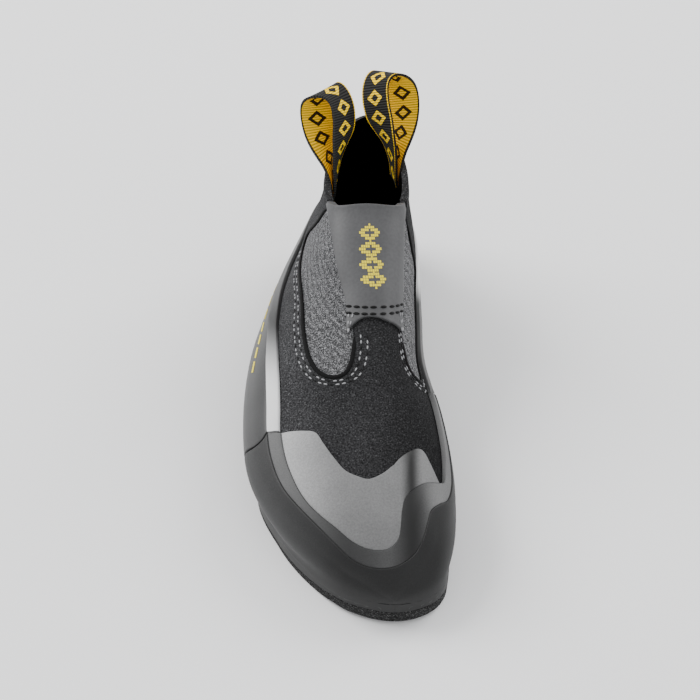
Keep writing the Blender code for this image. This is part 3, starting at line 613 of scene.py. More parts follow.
def makeUpper():
    # the suede in three panels, which meet at the gores' tips and beyond their feet
    tips = [goreShape["lateral"][0][1], goreShape["medial"][0][1]]
    joins = [(rimStation(tip), tip) for tip in tips]
    clear, rimArounds = 0.005, rimPath[:, 1]
    lateralRim = rimPath[rimArounds < tips[0] - clear]
    frontRim = rimPath[(rimArounds > tips[0] + clear) & (rimArounds < tips[1] - clear)]
    medialRim = rimPath[rimArounds > tips[1] + clear]
    lateralOut, lateralBack = goreSides(goreShape["lateral"])
    medialBack, medialOut = goreSides(goreShape["medial"])
    toe = [(toeStation, path[-1][1]) for path in (lateralOut, medialBack)]
    opening = upperShape["opening"]
    mirrored = [(station, -around) for station, around in reversed(opening)]
    lateral = [*lateralRim, joins[0], *lateralOut, toe[0], (toeStation, -1), *mirrored]
    front = [*frontRim, joins[1], *medialBack, toe[1], toe[0], *lateralBack, joins[0]]
    medial = [joins[1], *medialRim, *opening, (toeStation, 1), toe[1], *medialOut]
    edges = [rimPath, closedPath(smoothRing(goreShape["lateral"])),
             closedPath(smoothRing(goreShape["medial"])), np.array(opening), np.array(mirrored)]
    outlines = [(0, np.array(path)) for path in (lateral, front, medial)]
    piece = makeLayer("suedeUpper", outlines, 0, upperShape["wall"], [suede, lining], edges,
                      upperShape["rounding"], liningSlot=1)
    finishPiece(piece, "suede", "upper")


makeUpper()
print("upper made")


def makeGore(side):
    # the stretch panel fills its window, a step below the suede
    outline = smoothRing(goreShape[side])
    piece = makeLayer("gore" + side.capitalize(), [(0, outline)], goreShape["inner"],
                      goreShape["outer"], [twill], rounding=0.3 * mm)
    finishPiece(piece, "elastic", "gore_" + side)


for side in ("lateral", "medial"):
    makeGore(side)
print("gores made")


# Tubes, stitches and printed tiles on the surface

def evenPath(path, spacing):
    # the path again at even steps of its real length on the last
    along = runAlong(formPoints(path[:, 0], path[:, 1]))
    marks = np.linspace(0, along[-1], max(2, round(along[-1] / spacing)))
    return np.column_stack([np.interp(marks, along, path[:, k]) for k in (0, 1)])


def waysAlong(path, offset):
    # the points of a path, with the ways along it, across it and up from the last
    centre = lifted(path[:, 0], path[:, 1], offset)
    up = formNormals(path[:, 0], path[:, 1])
    along = unit(np.gradient(centre, axis=0))
    return centre, along, np.cross(up, along), up


def ringFaces(rings, count):
    # the faces of a tube of rings, closed at both ends
    faces = []
    for i in range(rings - 1):
        for j in range(count):
            k = (j + 1) % count
            faces.append((i * count + j, i * count + k, (i + 1) * count + k, (i + 1) * count + j))
    return faces + [tuple(range(count)), tuple(range((rings - 1) * count, rings * count))]


def tubeOnLast(name, path, offset, width, height, finishes):
    # an oval tube that lies along a path and tapers over a few rings at its ends
    sides = 10
    path = evenPath(path, 1.2 * mm)
    centre, _, side, up = waysAlong(path, offset)
    turn = np.arange(sides) * 2 * math.pi / sides
    fromEnd = np.minimum(np.arange(len(path)), np.arange(len(path))[::-1])
    taper = np.minimum(1, fromEnd / 4 + 0.15)[:, None, None]
    across = (np.cos(turn) * width / 2)[None, :, None]
    above = (np.sin(turn) * height / 2)[None, :, None]
    points = centre[:, None] + (side[:, None] * across + up[:, None] * above) * taper
    return meshFrom(name, points.reshape(-1, 3), ringFaces(len(path), sides), finishes)


def beyondEdge(spots, start, end, gap):
    # the part of an outline between two of its spots, moved outwards by a gap
    ring = smoothRing(spots)
    flat = toPattern(ring)
    ahead = unit(np.roll(flat, -1, axis=0) - np.roll(flat, 1, axis=0))
    outward = np.column_stack([ahead[:, 1], -ahead[:, 0]]) * wayRound(flat)
    moved = fromPattern(flat + gap * outward)
    steps = len(ring) // len(spots)
    return moved[start * steps:end * steps + 1]


pipingShape = {
    "width": 1.9 * mm,
    "height": 1.1 * mm,
    "offset": 1.75 * mm,
    "gap": 0.1 * mm,
    "runs": [("lateral", 0, 14), ("medial", 6, 16)],  # spots of the gore's outline
}
for side, start, end in pipingShape["runs"]:
    path = beyondEdge(goreShape[side], start, end, pipingShape["gap"])
    tube = tubeOnLast("gorePiping" + side.capitalize(), path, pipingShape["offset"],
                      pipingShape["width"], pipingShape["height"], [pipingTape])
    finishPiece(tube, "suede")


def modelStitch():
    # one pulled-down thread, a small bead 1 long, 1 wide and 1 high
    bpy.ops.mesh.primitive_uv_sphere_add(segments=6, ring_count=5, radius=0.5)
    bead = bpy.context.object
    mesh = bead.data
    points = np.array([vert.co[:] for vert in mesh.vertices])[:, [2, 0, 1]]
    faces = [tuple(face.vertices) for face in mesh.polygons]
    bpy.data.objects.remove(bead)
    return points, faces


stitchShape = {"size": (1.8 * mm, 0.75 * mm, 0.6 * mm), "pitch": 2.5 * mm,
               "rows": (2.3 * mm, 4.3 * mm), "runs": [("lateral", 4, 14), ("medial", 4, 11)]}
bandStitch = {"size": (2.9 * mm, 1.3 * mm, 0.8 * mm), "pitch": 2.7 * mm, "rows": (4.70, 5.00),
              "arounds": (-0.084, 0.150), "crown": 0.03, "bow": 1.2}
bandTack = {"stations": (5.12, 5.74), "arounds": [(-0.084, 0.0), (-0.072, -0.010),
                                                  (0.150, 0.008), (0.137, 0.012)]}
beadPoints, beadFaces = modelStitch()


def stitchRows(name, rows, offset, finishes, pattern=(0,), shape=stitchShape):
    # beads along each row, in colours that take turns by the pattern
    points, faces, slots = [], [], []
    for row in rows:
        centre, *ways = waysAlong(evenPath(row, shape["pitch"]), offset)
        for k in range(len(centre)):
            first = len(points) * len(beadPoints)
            turned = np.array([way[k] for way in ways])
            points.append(centre[k] + (beadPoints * shape["size"]) @ turned)
            faces += [tuple(v + first for v in face) for face in beadFaces]
            slots += [pattern[k % len(pattern)]] * len(beadFaces)
    return meshFrom(name, np.vstack(points), faces, finishes, slots)


goreRows = [beyondEdge(goreShape[side], start, end, gap)
            for side, start, end in stitchShape["runs"] for gap in stitchShape["rows"]]
stitches = stitchRows("goreStitching", goreRows, upperShape["wall"] + 0.05 * mm,
                      [threadPale, threadDark], pattern=(0, 0, 1))
finishPiece(stitches, "suede")
print("piping and stitching made")


# Collar binding, folded over the rim from the instep band round the heel and back

bindingShape = {"down": 3.3 * mm, "over": 0.5 * mm, "inner": -0.5 * mm, "outer": 2.5 * mm,
                "rounding": 0.7 * mm, "ends": 0.33}


def alongFromRim(arounds, distance):
    # stations at a distance in metres below the rim
    rim = rimStation(arounds)
    run = np.linalg.norm(formPoints(rim + 0.5, arounds) - formPoints(rim, arounds), axis=1) * 2
    return rim + distance / run


def makeCollarBinding():
    ends = bindingShape["ends"]
    outlines, edges = [], []
    for low, high in ((-1.0, -ends), (ends, 1.0)):
        arounds = np.linspace(low, high, 60)
        top = np.column_stack([alongFromRim(arounds, -bindingShape["over"]), arounds])
        foot = np.column_stack([alongFromRim(arounds, bindingShape["down"]), arounds])
        outlines.append((0, np.vstack([top, foot[::-1]])))
        edges += [top, foot]
    piece = makeLayer("collarBinding", outlines, bindingShape["inner"], bindingShape["outer"],
                      [bindingCloth, lining], edges, bindingShape["rounding"], 1.5 * mm, 1)
    finishPiece(piece, "suede")


makeCollarBinding()


# The instep band

bandShape = {
    "inner": 2.1 * mm,
    "outer": 3.2 * mm,
    "turnedIn": -0.5 * mm,
    "turnedFor": 1.2 * mm,
    "over": 0.4 * mm,
    "lateral": [
        (1.12, -0.316), (1.60, -0.250), (2.00, -0.203), (2.93, -0.143), (4.00, -0.110),
        (4.67, -0.097), (5.80, -0.090)],
    "arch": [
        (5.80, -0.090), (5.48, -0.071), (5.22, -0.050), (5.10, -0.026), (5.14, 0.010),
        (5.32, 0.060), (5.50, 0.108), (5.80, 0.160)],
    "medial": [
        (5.80, 0.174), (5.40, 0.166), (4.60, 0.164), (3.60, 0.178), (2.60, 0.208), (1.90, 0.240),
        (1.15, 0.296)],
}


def makeInstepBand():
    # the band's top edge is turned in over the rim
    arounds = np.linspace(bandShape["medial"][-1][1], bandShape["lateral"][0][1], 40)[1:-1]
    top = np.column_stack([alongFromRim(arounds, -bandShape["over"]), arounds])
    sides = [smoothPath(bandShape[name])[:-1] for name in ("lateral", "arch", "medial")]
    outline = np.vstack([*sides, top])

    def inner(places):
        overRim = places[:, 0] < alongFromRim(places[:, 1], bandShape["turnedFor"])
        return np.where(overRim, bandShape["turnedIn"], bandShape["inner"])

    piece = makeLayer("instepBand", [(0, outline)], inner, bandShape["outer"], [coatedBand],
                      rounding=0.55 * mm, step=1.5 * mm)
    finishPiece(piece, "coated_band", "instep_band")


makeInstepBand()

onBand = bandShape["outer"] + 0.1 * mm
arounds = np.linspace(*bandStitch["arounds"], 20)
bow = bandStitch["bow"] * (arounds - bandStitch["crown"]) ** 2
bandRows = [np.column_stack([station + bow, arounds]) for station in bandStitch["rows"]]
finishPiece(stitchRows("bandStitching", bandRows, onBand, [threadDark], shape=bandStitch),
            "coated_band")
near, far = bandTack["stations"]
tackRows = [np.array([(near, around), (far, around + lean)]) for around, lean in bandTack["arounds"]]
finishPiece(stitchRows("bandTacking", tackRows, onBand, [threadPale]), "coated_band")


tileSink = 0.3 * mm


def raisedTiles(name, tiles, offset, height, finishes):
    # thin tiles on the last, each given by its corners on the flat pattern and let in a little
    points, faces = [], []
    for corners in tiles:
        places = fromPattern(corners)
        first = len(points) * 8
        face = offset(places) if callable(offset) else offset
        top = lifted(places[:, 0], places[:, 1], face + height)
        low = lifted(places[:, 0], places[:, 1], face - tileSink)
        points.append(np.vstack([top, low]))
        faces.append((first, first + 1, first + 2, first + 3))
        faces.append((first + 7, first + 6, first + 5, first + 4))
        for k in range(4):
            n = (k + 1) % 4
            faces.append((first + k, first + k + 4, first + n + 4, first + n))
    return meshFrom(name, np.vstack(points), faces, finishes, smooth=False)


printShape = {"pitch": 1.1 * mm, "tile": 0.94 * mm, "height": 0.06 * mm, "first": 1.78,
              "last": 3.52, "lozenges": 4, "around": 0.012}


def makeBandPrint():
    # a column of lozenges built from small square dots, with an open middle: rings 3 to 6
    tiles = []
    half = printShape["tile"] / 2
    for station in np.linspace(printShape["first"], printShape["last"], printShape["lozenges"]):
        centre = toPattern([(station, printShape["around"])])[0]
        for i in range(-3, 4):
            for j in range(-5, 6):
                if 3 <= 2 * abs(i) + abs(j) <= 6:
                    x, y = centre + np.array([i, j]) * printShape["pitch"]
                    tiles.append([(x - half, y - half), (x + half, y - half),
                                  (x + half, y + half), (x - half, y + half)])
    return raisedTiles("bandPrint", tiles, bandShape["outer"], printShape["height"],
                       [yellowPrint])


finishPiece(makeBandPrint(), "coated_band")
print("instep band made")


# Soles: rings of points round a slab whose top follows the form and whose floor is flat

soleShape = {
    "seat": 4.2 * mm,
    "rim": 1.2 * mm,
    "toeHeight": 11.0 * mm,
    "sideHeight": 8.2 * mm,
    "heelHeight": 8.0 * mm,
    "spring": 2.0 * mm,
    "margin": 0.6 * mm,
    "edge": 0.9 * mm,
    "groundSide": 2.6 * mm,
    "groundToe": 6.0 * mm,
    "groove": 0.25 * mm,
    "heelGround": 7.3 * mm,
    "start": 8.0,
    "heelStart": 6.3,
    "heelEnd": 3.0,
    "riseStart": 10.0,
    "floorStart": 4.2,
    "ballRow": 9,
    "underSteps": 25,
    "seatSteps": 31,
}


def soleFloor(run):
    # the floor of the sole at a run along the foot: flat, then up in an arch and a toe spring
    stations = np.linspace(soleShape["floorStart"], toeStation, 240)
    line = formPoints(stations, np.ones(len(stations)))
    order = np.argsort(line[:, 1])
    height = np.interp(run, line[order, 1], line[order, 2]) - last["seatHeight"]
    ball = last["heelSetback"] - last["rows"][soleShape["ballRow"]][2] * last["length"]
    height = np.where(run < ball, np.minimum(height, soleShape["spring"]), height)
    return np.maximum(height - soleShape["margin"], 0)


def rimAround(stations, side, offset, height):
    # the around where the lifted form comes down to a height
    low, high = np.full(len(stations), 0.5), np.ones(len(stations))
    for _ in range(30):
        middle = (low + high) / 2
        above = lifted(stations, side * middle, offset)[:, 2] > height
        low, high = np.where(above, middle, low), np.where(above, high, middle)
    return (low + high) / 2


def toeShare(stations):
    # how far the sole has begun to grow toward its toe
    start = soleShape["riseStart"]
    return np.clip((stations - start) / (toeStation - 0.5 - start), 0, 1)


def rimHeight(stations):
    low, high = soleShape["sideHeight"], soleShape["toeHeight"]
    return low + (high - low) * toeShare(stations)


def soleWall(stations, height):
    # the top of the sole's wall on both sides, at the stations that it reaches
    offset = soleShape["seat"] + soleShape["rim"]
    floor = soleFloor(formPoints(stations, np.ones(len(stations)))[:, 1])
    halves = [rimAround(stations, side, offset, floor + height) for side in (-1, 1)]
    reached = (halves[0] < 0.999) & (halves[1] < 0.999)
    halves = [half[reached] for half in halves]
    rims = [lifted(stations[reached], side * half, offset) for side, half in zip((-1, 1), halves)]
    return reached, halves, rims


def makeSole(name, stations, height, ground, upperWall, node):
    # the rand's rubber runs down the wall as far as the ground height, and below it lies the
    # sole's own rubber, ground with a belt
    reached, halves, rims = soleWall(stations, height)
    stations, ground = stations[reached], ground[reached]
    edge = soleShape["edge"]
    groove = soleShape["groove"]
    columns = []
    for side, half, rim in zip((-1, 1), halves, rims):  # the wall, rounded off at its foot
        inward = -formNormals(stations, side * half)
        inward[:, 2] = 0
        inward = unit(inward)
        floor = soleFloor(rim[:, 1])
        wall = []
        split = floor + ground
        for height, sink in ((rim[:, 2], 0), ((rim[:, 2] + split) / 2, 0), (split + groove, 0),
                             (split, groove), (split - groove, 0), ((split + floor + edge) / 2, 0)):
            point = rim + inward * sink
            point[:, 2] = height
            wall.append(point)
        for turn in np.linspace(0, math.pi / 2, 5):
            point = rim + inward * edge * (1 - math.cos(turn))
            point[:, 2] = floor + edge * (1 - math.sin(turn))
            wall.append(point)
        columns.append(wall)
    under = []
    for share in np.linspace(0, 1, soleShape["underSteps"])[1:-1]:
        point = columns[0][-1] * (1 - share) + columns[1][-1] * share
        point[:, 2] = soleFloor(point[:, 1])
        under.append(point)
    seat = []
    for share in np.linspace(0, 1, soleShape["seatSteps"]):
        arounds = halves[1] + share * (2 - halves[0] - halves[1])
        arounds = np.where(arounds > 1, arounds - 2, arounds)
        seat.append(lifted(stations, arounds, soleShape["seat"]))
    ring = [*columns[0], *under, *columns[1][::-1], *seat]
    points = np.stack(ring, axis=1)  # stations by places round the slab
    count = points.shape[1]
    seatStart = 2 * len(columns[0]) + len(under)
    wallFaces = 3  # the faces above the groove on each side, next to the seat
    isWall = [j < wallFaces or seatStart - wallFaces - 1 <= j < seatStart for j in range(count)]
    slots = isWall * (len(stations) - 1) + [0, 0]
    piece = meshFrom(name, points.reshape(-1, 3), ringFaces(len(stations), count),
                     [groundSole, upperWall], slots)
    bpy.ops.object.shade_smooth_by_angle(angle=math.radians(40))
    finishPiece(piece, "sole_rubber", node)


def soleStations(start, end, heightAt):
    # ever closer stations, as far as the one where the two sides of the wall meet
    near, far = start, end
    for _ in range(24):
        middle = (near + far) / 2
        reached = soleWall(np.array([middle]), heightAt(np.array([middle])))[0][0]
        near, far = (middle, far) if reached else (near, middle)
    return start + (near - start) * np.sin(np.linspace(0, math.pi / 2, 90))


def heelHeight(stations):
    return np.full(len(stations), soleShape["heelHeight"])


toeward = soleStations(soleShape["start"], toeStation, rimHeight)
ground = soleShape["groundSide"]
ground = ground + (soleShape["groundToe"] - ground) * toeShare(toeward)
makeSole("forefootSole", toeward, rimHeight(toeward), ground, randRubber, "outsole")
heelward = soleStations(soleShape["heelStart"], soleShape["heelEnd"], heelHeight)
ground = np.full(len(heelward), soleShape["heelGround"])
makeSole("heelSole", heelward, heelHeight(heelward), ground, groundSole, "heel_sole")
print("soles made")


# The toe patch, the band below it and the rands

toeShape = {
    "patchInner": 2.1 * mm,
    "patchOuter": 3.4 * mm,
    "face": 3.9 * mm,
    "bandFace": 3.4 * mm,
    "shoulderRise": 1.1 * mm,
    "bandReach": 9 * mm,
    "randReach": 12 * mm,
    "creaseDepth": 0.9 * mm,
    "creaseReach": 6 * mm,
    "seamGap": 0.03,
    # the rand's swelling to the sole's wall: its height above it, its most, a little over,
    # and the stations where it begins and is full
    "flushReach": 8.0 * mm,
    "flushMost": 3.0 * mm,
    "flushOver": 0.05 * mm,
    "flushStations": (8.7, 9.5),
    "patchTop": [
        (8.56, -0.274), (8.56, -0.240), (8.59, -0.205), (8.66, -0.175), (8.92, -0.160),
        (9.28, -0.144), (9.62, -0.126), (9.80, -0.097), (9.88, -0.069), (9.76, -0.031),
        (9.52, 0.008), (9.26, 0.074), (9.10, 0.138), (9.15, 0.180), (9.40, 0.214), (9.70, 0.255),
        (9.78, 0.272)],
    "patchLow": [
        (8.56, -0.274), (8.93, -0.276), (9.33, -0.280), (9.83, -0.285), (10.18, -0.280),
        (10.53, -0.262), (10.85, -0.235), (11.18, -0.205), (11.40, -0.160), (11.50, -0.100),
        (11.47, -0.045), (11.28, -0.008), (10.90, 0.008), (10.62, 0.018), (10.33, 0.045),
        (10.08, 0.105), (9.93, 0.160), (9.86, 0.210), (9.78, 0.272)],
    "shoulder": [
        (8.50, -0.317), (9.08, -0.322), (9.50, -0.328), (9.83, -0.328), (10.20, -0.316),
        (10.70, -0.296), (11.18, -0.275), (11.62, -0.240), (11.88, -0.160), (11.92, -0.040),
        (11.64, 0.090), (11.27, 0.148), (10.85, 0.172), (10.56, 0.190), (10.34, 0.246),
        (10.11, 0.318), (9.66, 0.366), (9.05, 0.392), (8.37, 0.426), (7.62, 0.470)],
    "bandRise": [(9.78, 0.272), (9.66, 0.315), (9.05, 0.352), (8.37, 0.394), (7.62, 0.444)],
    "crease": [(9.05, 0.120), (9.46, 0.085), (9.90, 0.060), (10.30, 0.045)],
    "opening": [(8.40, 0.855), (10.5, 0.855), (12.05, 0.855), (12.32, 0.905), (12.40, 1.0)],
}
seamShape = {
    "lateral": [
        (8.50, -0.317), (8.62, -0.345), (8.67, -0.390), (8.64, -0.480), (8.70, -0.620),
        (8.60, -0.800), (8.55, -1.0)],
    "medial": [(7.62, 0.470), (7.70, 0.560), (7.90, 0.700), (8.30, 0.850), (8.55, 1.0)],
}
heelShape = {
    "foldRise": 1.0 * mm,
    "foldReach": 10 * mm,
    "skiveFall": 1.0 * mm,
    "skiveReach": 4.5 * mm,
    "topLateral": [
        (8.50, -0.282), (7.85, -0.277), (7.17, -0.289), (6.45, -0.323), (5.71, -0.383),
        (5.10, -0.462), (4.40, -0.530), (3.60, -0.600), (2.95, -0.690), (2.48, -0.830),
        (2.35, -1.0)],
    "foldLateral": [
        (8.50, -0.317), (7.84, -0.314), (7.19, -0.328), (6.49, -0.362), (5.80, -0.420),
        (5.22, -0.494), (4.58, -0.562), (3.84, -0.632), (3.24, -0.716), (2.78, -0.845),
        (2.64, -1.0)],
    "topMedial": [
        (7.62, 0.444), (7.00, 0.478), (6.20, 0.492), (5.30, 0.500), (4.40, 0.530), (3.60, 0.600),
        (2.95, 0.690), (2.48, 0.830), (2.35, 1.0)],
    "foldMedial": [
        (7.62, 0.470), (7.00, 0.512), (6.20, 0.528), (5.35, 0.535), (4.58, 0.565), (3.84, 0.634),
        (3.24, 0.718), (2.78, 0.845), (2.64, 1.0)],
}


def reachOfWall(points, normals, wall):
    # how far along its normal each point lies from an upright wall, given by its plan line
    flat = np.linalg.norm(normals[:, :2], axis=1)
    way = normals[:, :2] / np.maximum(flat, 1e-6)[:, None]
    along = wall[1:] - wall[:-1]
    gap = wall[None, :-1] - points[:, None, :2]
    crossed = cross2(way[:, None], along[None])
    crossed = np.where(np.abs(crossed) < 1e-12, 1e-12, crossed)
    distance = cross2(gap, along[None]) / crossed
    part = cross2(gap, way[:, None]) / crossed
    met = (part >= -0.01) & (part <= 1.01) & (distance > 0)
    farAway, steepest = 0.1, 0.35  # where no wall is met, and where a normal points up or down
    return np.where(met, distance, farAway).min(axis=1) / np.maximum(flat, steepest)


def makeToePatch():
    top, low = smoothPath(toeShape["patchTop"]), smoothPath(toeShape["patchLow"])
    outline = np.vstack([top, low[-2:0:-1]])
    crease = smoothPath(toeShape["crease"])

    def outer(places):
        sunk = nearness(places, crease, toeShape["creaseReach"]) ** 1.5
        return toeShape["patchOuter"] - toeShape["creaseDepth"] * sunk

    piece = makeLayer("toePatch", [(0, outline)], toeShape["patchInner"], outer,
                      [patchRubber], rounding=0.3 * mm, step=1.5 * mm)
    finishPiece(piece, "patch_rubber", "toe_patch")


def makeToeBand():
    top = np.vstack([smoothPath(toeShape["patchLow"])[:-1], smoothPath(toeShape["bandRise"])])
    low = smoothPath(toeShape["shoulder"])

    def outer(places):
        near = nearness(places, low, toeShape["bandReach"])
        return toeShape["bandFace"] + toeShape["shoulderRise"] * near

    piece = makeLayer("toeBand", [(0, np.vstack([top, low[::-1]]))], toeShape["patchInner"],
                      outer, [moulded], rounding=0.25 * mm, step=1.5 * mm)
    finishPiece(piece, "band_rubber", "toe_band")


def makeToeRand():
    low = smoothPath(toeShape["shoulder"])
    gap = (toeShape["seamGap"], 0)
    lateral = smoothPath(seamShape["lateral"][:-1])[::-1] + gap
    medial = smoothPath(seamShape["medial"][:-1]) + gap
    opening = toeShape["opening"]
    mirrored = [(station, -around) for station, around in reversed(opening[1:])]
    outline = np.vstack([lateral, low[1:-1], medial, opening, [(toeStation, 1), (toeStation, -1)],
                         mirrored])
    edges = [np.vstack([lateral, low[1:-1], medial]), np.array(opening), np.array(mirrored)]
    rims = soleWall(toeward, rimHeight(toeward))[2]
    wall = np.vstack([rims[0], rims[1][::-1]])[:, :2]
    start, full = toeShape["flushStations"]

    def outer(places):
        # toward the sole the rand swells until it is flush with the sole's upright wall
        near = nearness(places, low, toeShape["randReach"])
        face = toeShape["face"] + toeShape["shoulderRise"] * near
        points = formPoints(places[:, 0], places[:, 1])
        up = formNormals(places[:, 0], places[:, 1])
        above = (points + face[:, None] * up)[:, 2] - soleFloor(points[:, 1])
        share = np.clip(1 - (above - rimHeight(places[:, 0])) / toeShape["flushReach"], 0, 1)
        share *= np.clip((places[:, 0] - start) / (full - start), 0, 1)
        share *= share * (3 - 2 * share)
        near = share > 0
        swollen = face.copy()
        reach = reachOfWall(points[near], up[near], wall) + toeShape["flushOver"]
        swollen[near] = np.clip(reach, face[near], face[near] + toeShape["flushMost"])
        return face + (swollen - face) * share

    piece = makeLayer("toeRand", [(0, outline)], toeShape["patchInner"], outer, [randRubber],
                      edges, rounding=0.6 * mm)
    finishPiece(piece, "rand_rubber", "toe_rand")


slingTops = [smoothPath(heelShape[name]) for name in ("topLateral", "topMedial")]
slingFolds = [smoothPath(heelShape[name]) for name in ("foldLateral", "foldMedial")]


def heelFace(places):
    # the sling's outer face stands proud along its fold and thins toward its skived edge
    lift = np.full(len(places), toeShape["face"])
    for top, fold in zip(slingTops, slingFolds):
        lift += heelShape["foldRise"] * nearness(places, fold, heelShape["foldReach"])
        lift -= heelShape["skiveFall"] * nearness(places, top, heelShape["skiveReach"])
    return lift


def makeHeelRand():
    seams = [smoothPath(seamShape[name]) for name in ("lateral", "medial")]
    outlines = []
    for top, fold, seam in zip(slingTops, slingFolds, seams):
        outlines.append((1, np.vstack([top, fold[::-1]])))
        outlines.append((0, np.vstack([fold, seam[:0:-1]])))
    piece = makeLayer("heelRand", outlines, toeShape["patchInner"], heelFace,
                      [slingRubber, skivedEdgeHighlight], [*slingTops, *seams], rounding=0.4 * mm)
    finishPiece(piece, "sling_rubber", "heel_rand")


makeToePatch()
makeToeBand()
makeToeRand()
makeHeelRand()
print("patch and rands made")


# Pull loops of woven webbing

loopShape = {
    "width": 14.5 * mm,
    "thick": 1.1 * mm,
    "rise": 40.5 * mm,
    "belly": 11.0 * mm,
    "taper": 1.5,
    "tuck": 9.0 * mm,
    "gap": 0.8 * mm,
    "legGap": 0.4 * mm,
    "turns": (0.26, 1.74),  # half turns where the webbing leaves the rim and comes back to it
    "turnSteps": 90,
    "smoothing": 6,
    "columns": 13,
    "length": 115 * mm,
    "ribs": 1.1 * mm,
    "motif": 9.0 * mm,
    "lozenge": (0.20, 0.40, 0.36),  # inner and outer size, and half of the figure's width
    "lozengeSlope": 1.35,
    # name, around, shares of the rise and belly, and the ways up, out and across, with the
    # twist of the outer leg and the tilt of the crest
    "loops": [
        ("lateral", -0.530, 0.94, 0.9, (-0.07, 0.39, 0.90), (-0.86, 0.41, -0.22),
         (0.80, 0.49, -0.18), (0.21, -0.38, 0.16), (-0.16, 0.32, 0.17)),
        ("medial", 0.600, 1.0, 1.0, (-0.10, 0.39, 0.90), (0.80, 0.44, -0.34),
         (-0.84, 0.35, -0.36), (-0.12, -0.19, 0.14), (0.06, 0.24, 0.11)),
    ],
}


def webbingMaterial(name, ground, figure, selvedge, selvedgeSides, paintedRibLight):
    # Jacquard webbing: cross ribs of the weft, and a chain of hollow lozenges in the other
    # yarn. The map runs 0 to 1 across the webbing and along it by the webbing's length.
    made, tree, shader = startMaterial(name, 0.75, 0.2)
    across = addNode(tree, "SeparateXYZ", [addNode(tree, "TexCoord", output="UV")])
    inmost, outmost, halfWide = loopShape["lozenge"]
    low, high = selvedgeSides
    # each step works on numbers and on the results of steps above it
    steps = {
        "run": ("MULTIPLY", "along", loopShape["length"]),
        "repeats": ("DIVIDE", "run", loopShape["motif"]),
        "repeat": ("PINGPONG", "repeats", 0.5),
        "fromMiddle": ("SUBTRACT", "across", 0.5),
        "offside": ("ABSOLUTE", "fromMiddle"),
        "fromTip": ("SUBTRACT", 0.5, "repeat"),
        "size": ("MULTIPLY_ADD", "offside", loopShape["lozengeSlope"], "fromTip"),
        "outside": ("GREATER_THAN", "size", inmost),
        "inside": ("LESS_THAN", "size", outmost),
        "lozenge": ("MULTIPLY", "outside", "inside"),
        "narrow": ("LESS_THAN", "offside", halfWide),
        "figure": ("MULTIPLY", "lozenge", "narrow"),
        "nearSide": ("LESS_THAN", "across", low),
        "farSide": ("GREATER_THAN", "across", 1 - high),
        "selvedge": ("MAXIMUM", "nearSide", "farSide"),
        "turn": ("MULTIPLY", "run", 2 * math.pi / loopShape["ribs"]),
        "rib": ("SINE", "turn"),
        "coloured": ("MAXIMUM", "figure", "selvedge"),
        "smooth": ("MULTIPLY", "coloured", 0.6),
    }
    done = {"across": across, "along": across.node.outputs["Y"]}
    for step, (operation, *values) in steps.items():
        values = [done.get(value, value) for value in values]
        done[step] = addNode(tree, "Math", values, operation=operation)
    mixed = hexColour(ground)
    for step, colour in (("figure", figure), ("selvedge", selvedge)):
        mixed = addNode(tree, "Mix", {0: done[step], 6: mixed, 7: hexColour(colour)}, 2,
                        data_type="RGBA")
    # painted highlight on the rib crests and painted shade between them, weaker on the coloured yarn
    shade = addNode(tree, "MapRange", (done["rib"], -1.0, 0.8, *paintedRibLight),
                    interpolation_type="SMOOTHSTEP")
    shade = addNode(tree, "Mix", {0: done["smooth"], 2: shade, 3: 1.0})
    shaded = addNode(tree, "VectorMath", {0: mixed, "Scale": shade}, operation="SCALE")
    coverShader(tree, shader, shaded, done["rib"], 0.6, 0.25 * mm)
    return made


black, yellow, gold = "#1e1e1d", "#f6cc00", "#e8bc00"
webbingFaces = {
    "lateral": webbingMaterial("black jacquard webbing", black, yellow, gold, (-1.0, 0.04),
                               (0.2, 2.2)),
    "medial": webbingMaterial("black jacquard webbing, edged", black, yellow, gold, (0.04, 0.04),
                              (0.2, 2.2)),
    "inside": webbingMaterial("yellow jacquard webbing", "#f8c800", "#241a08", "#0f0d0a",
                              (0.035, 0.035), (0.5, 1.15)),
}


def tuckedRow(around, drop, offset):
    # three points across the webbing, at a distance below the rim
    span = loopShape["width"] / (3 * last["ballWidth"])
    arounds = (around + span * np.array([1, 0, -1]) * np.sign(around))[::-1]
    rim = rimStation(around)
    wall = formPoints(np.array([rim, rim + 1]), np.array([around] * 2))
    stations = np.full(3, rim + drop / np.linalg.norm(wall[1] - wall[0]))
    return lifted(stations, arounds, offset)


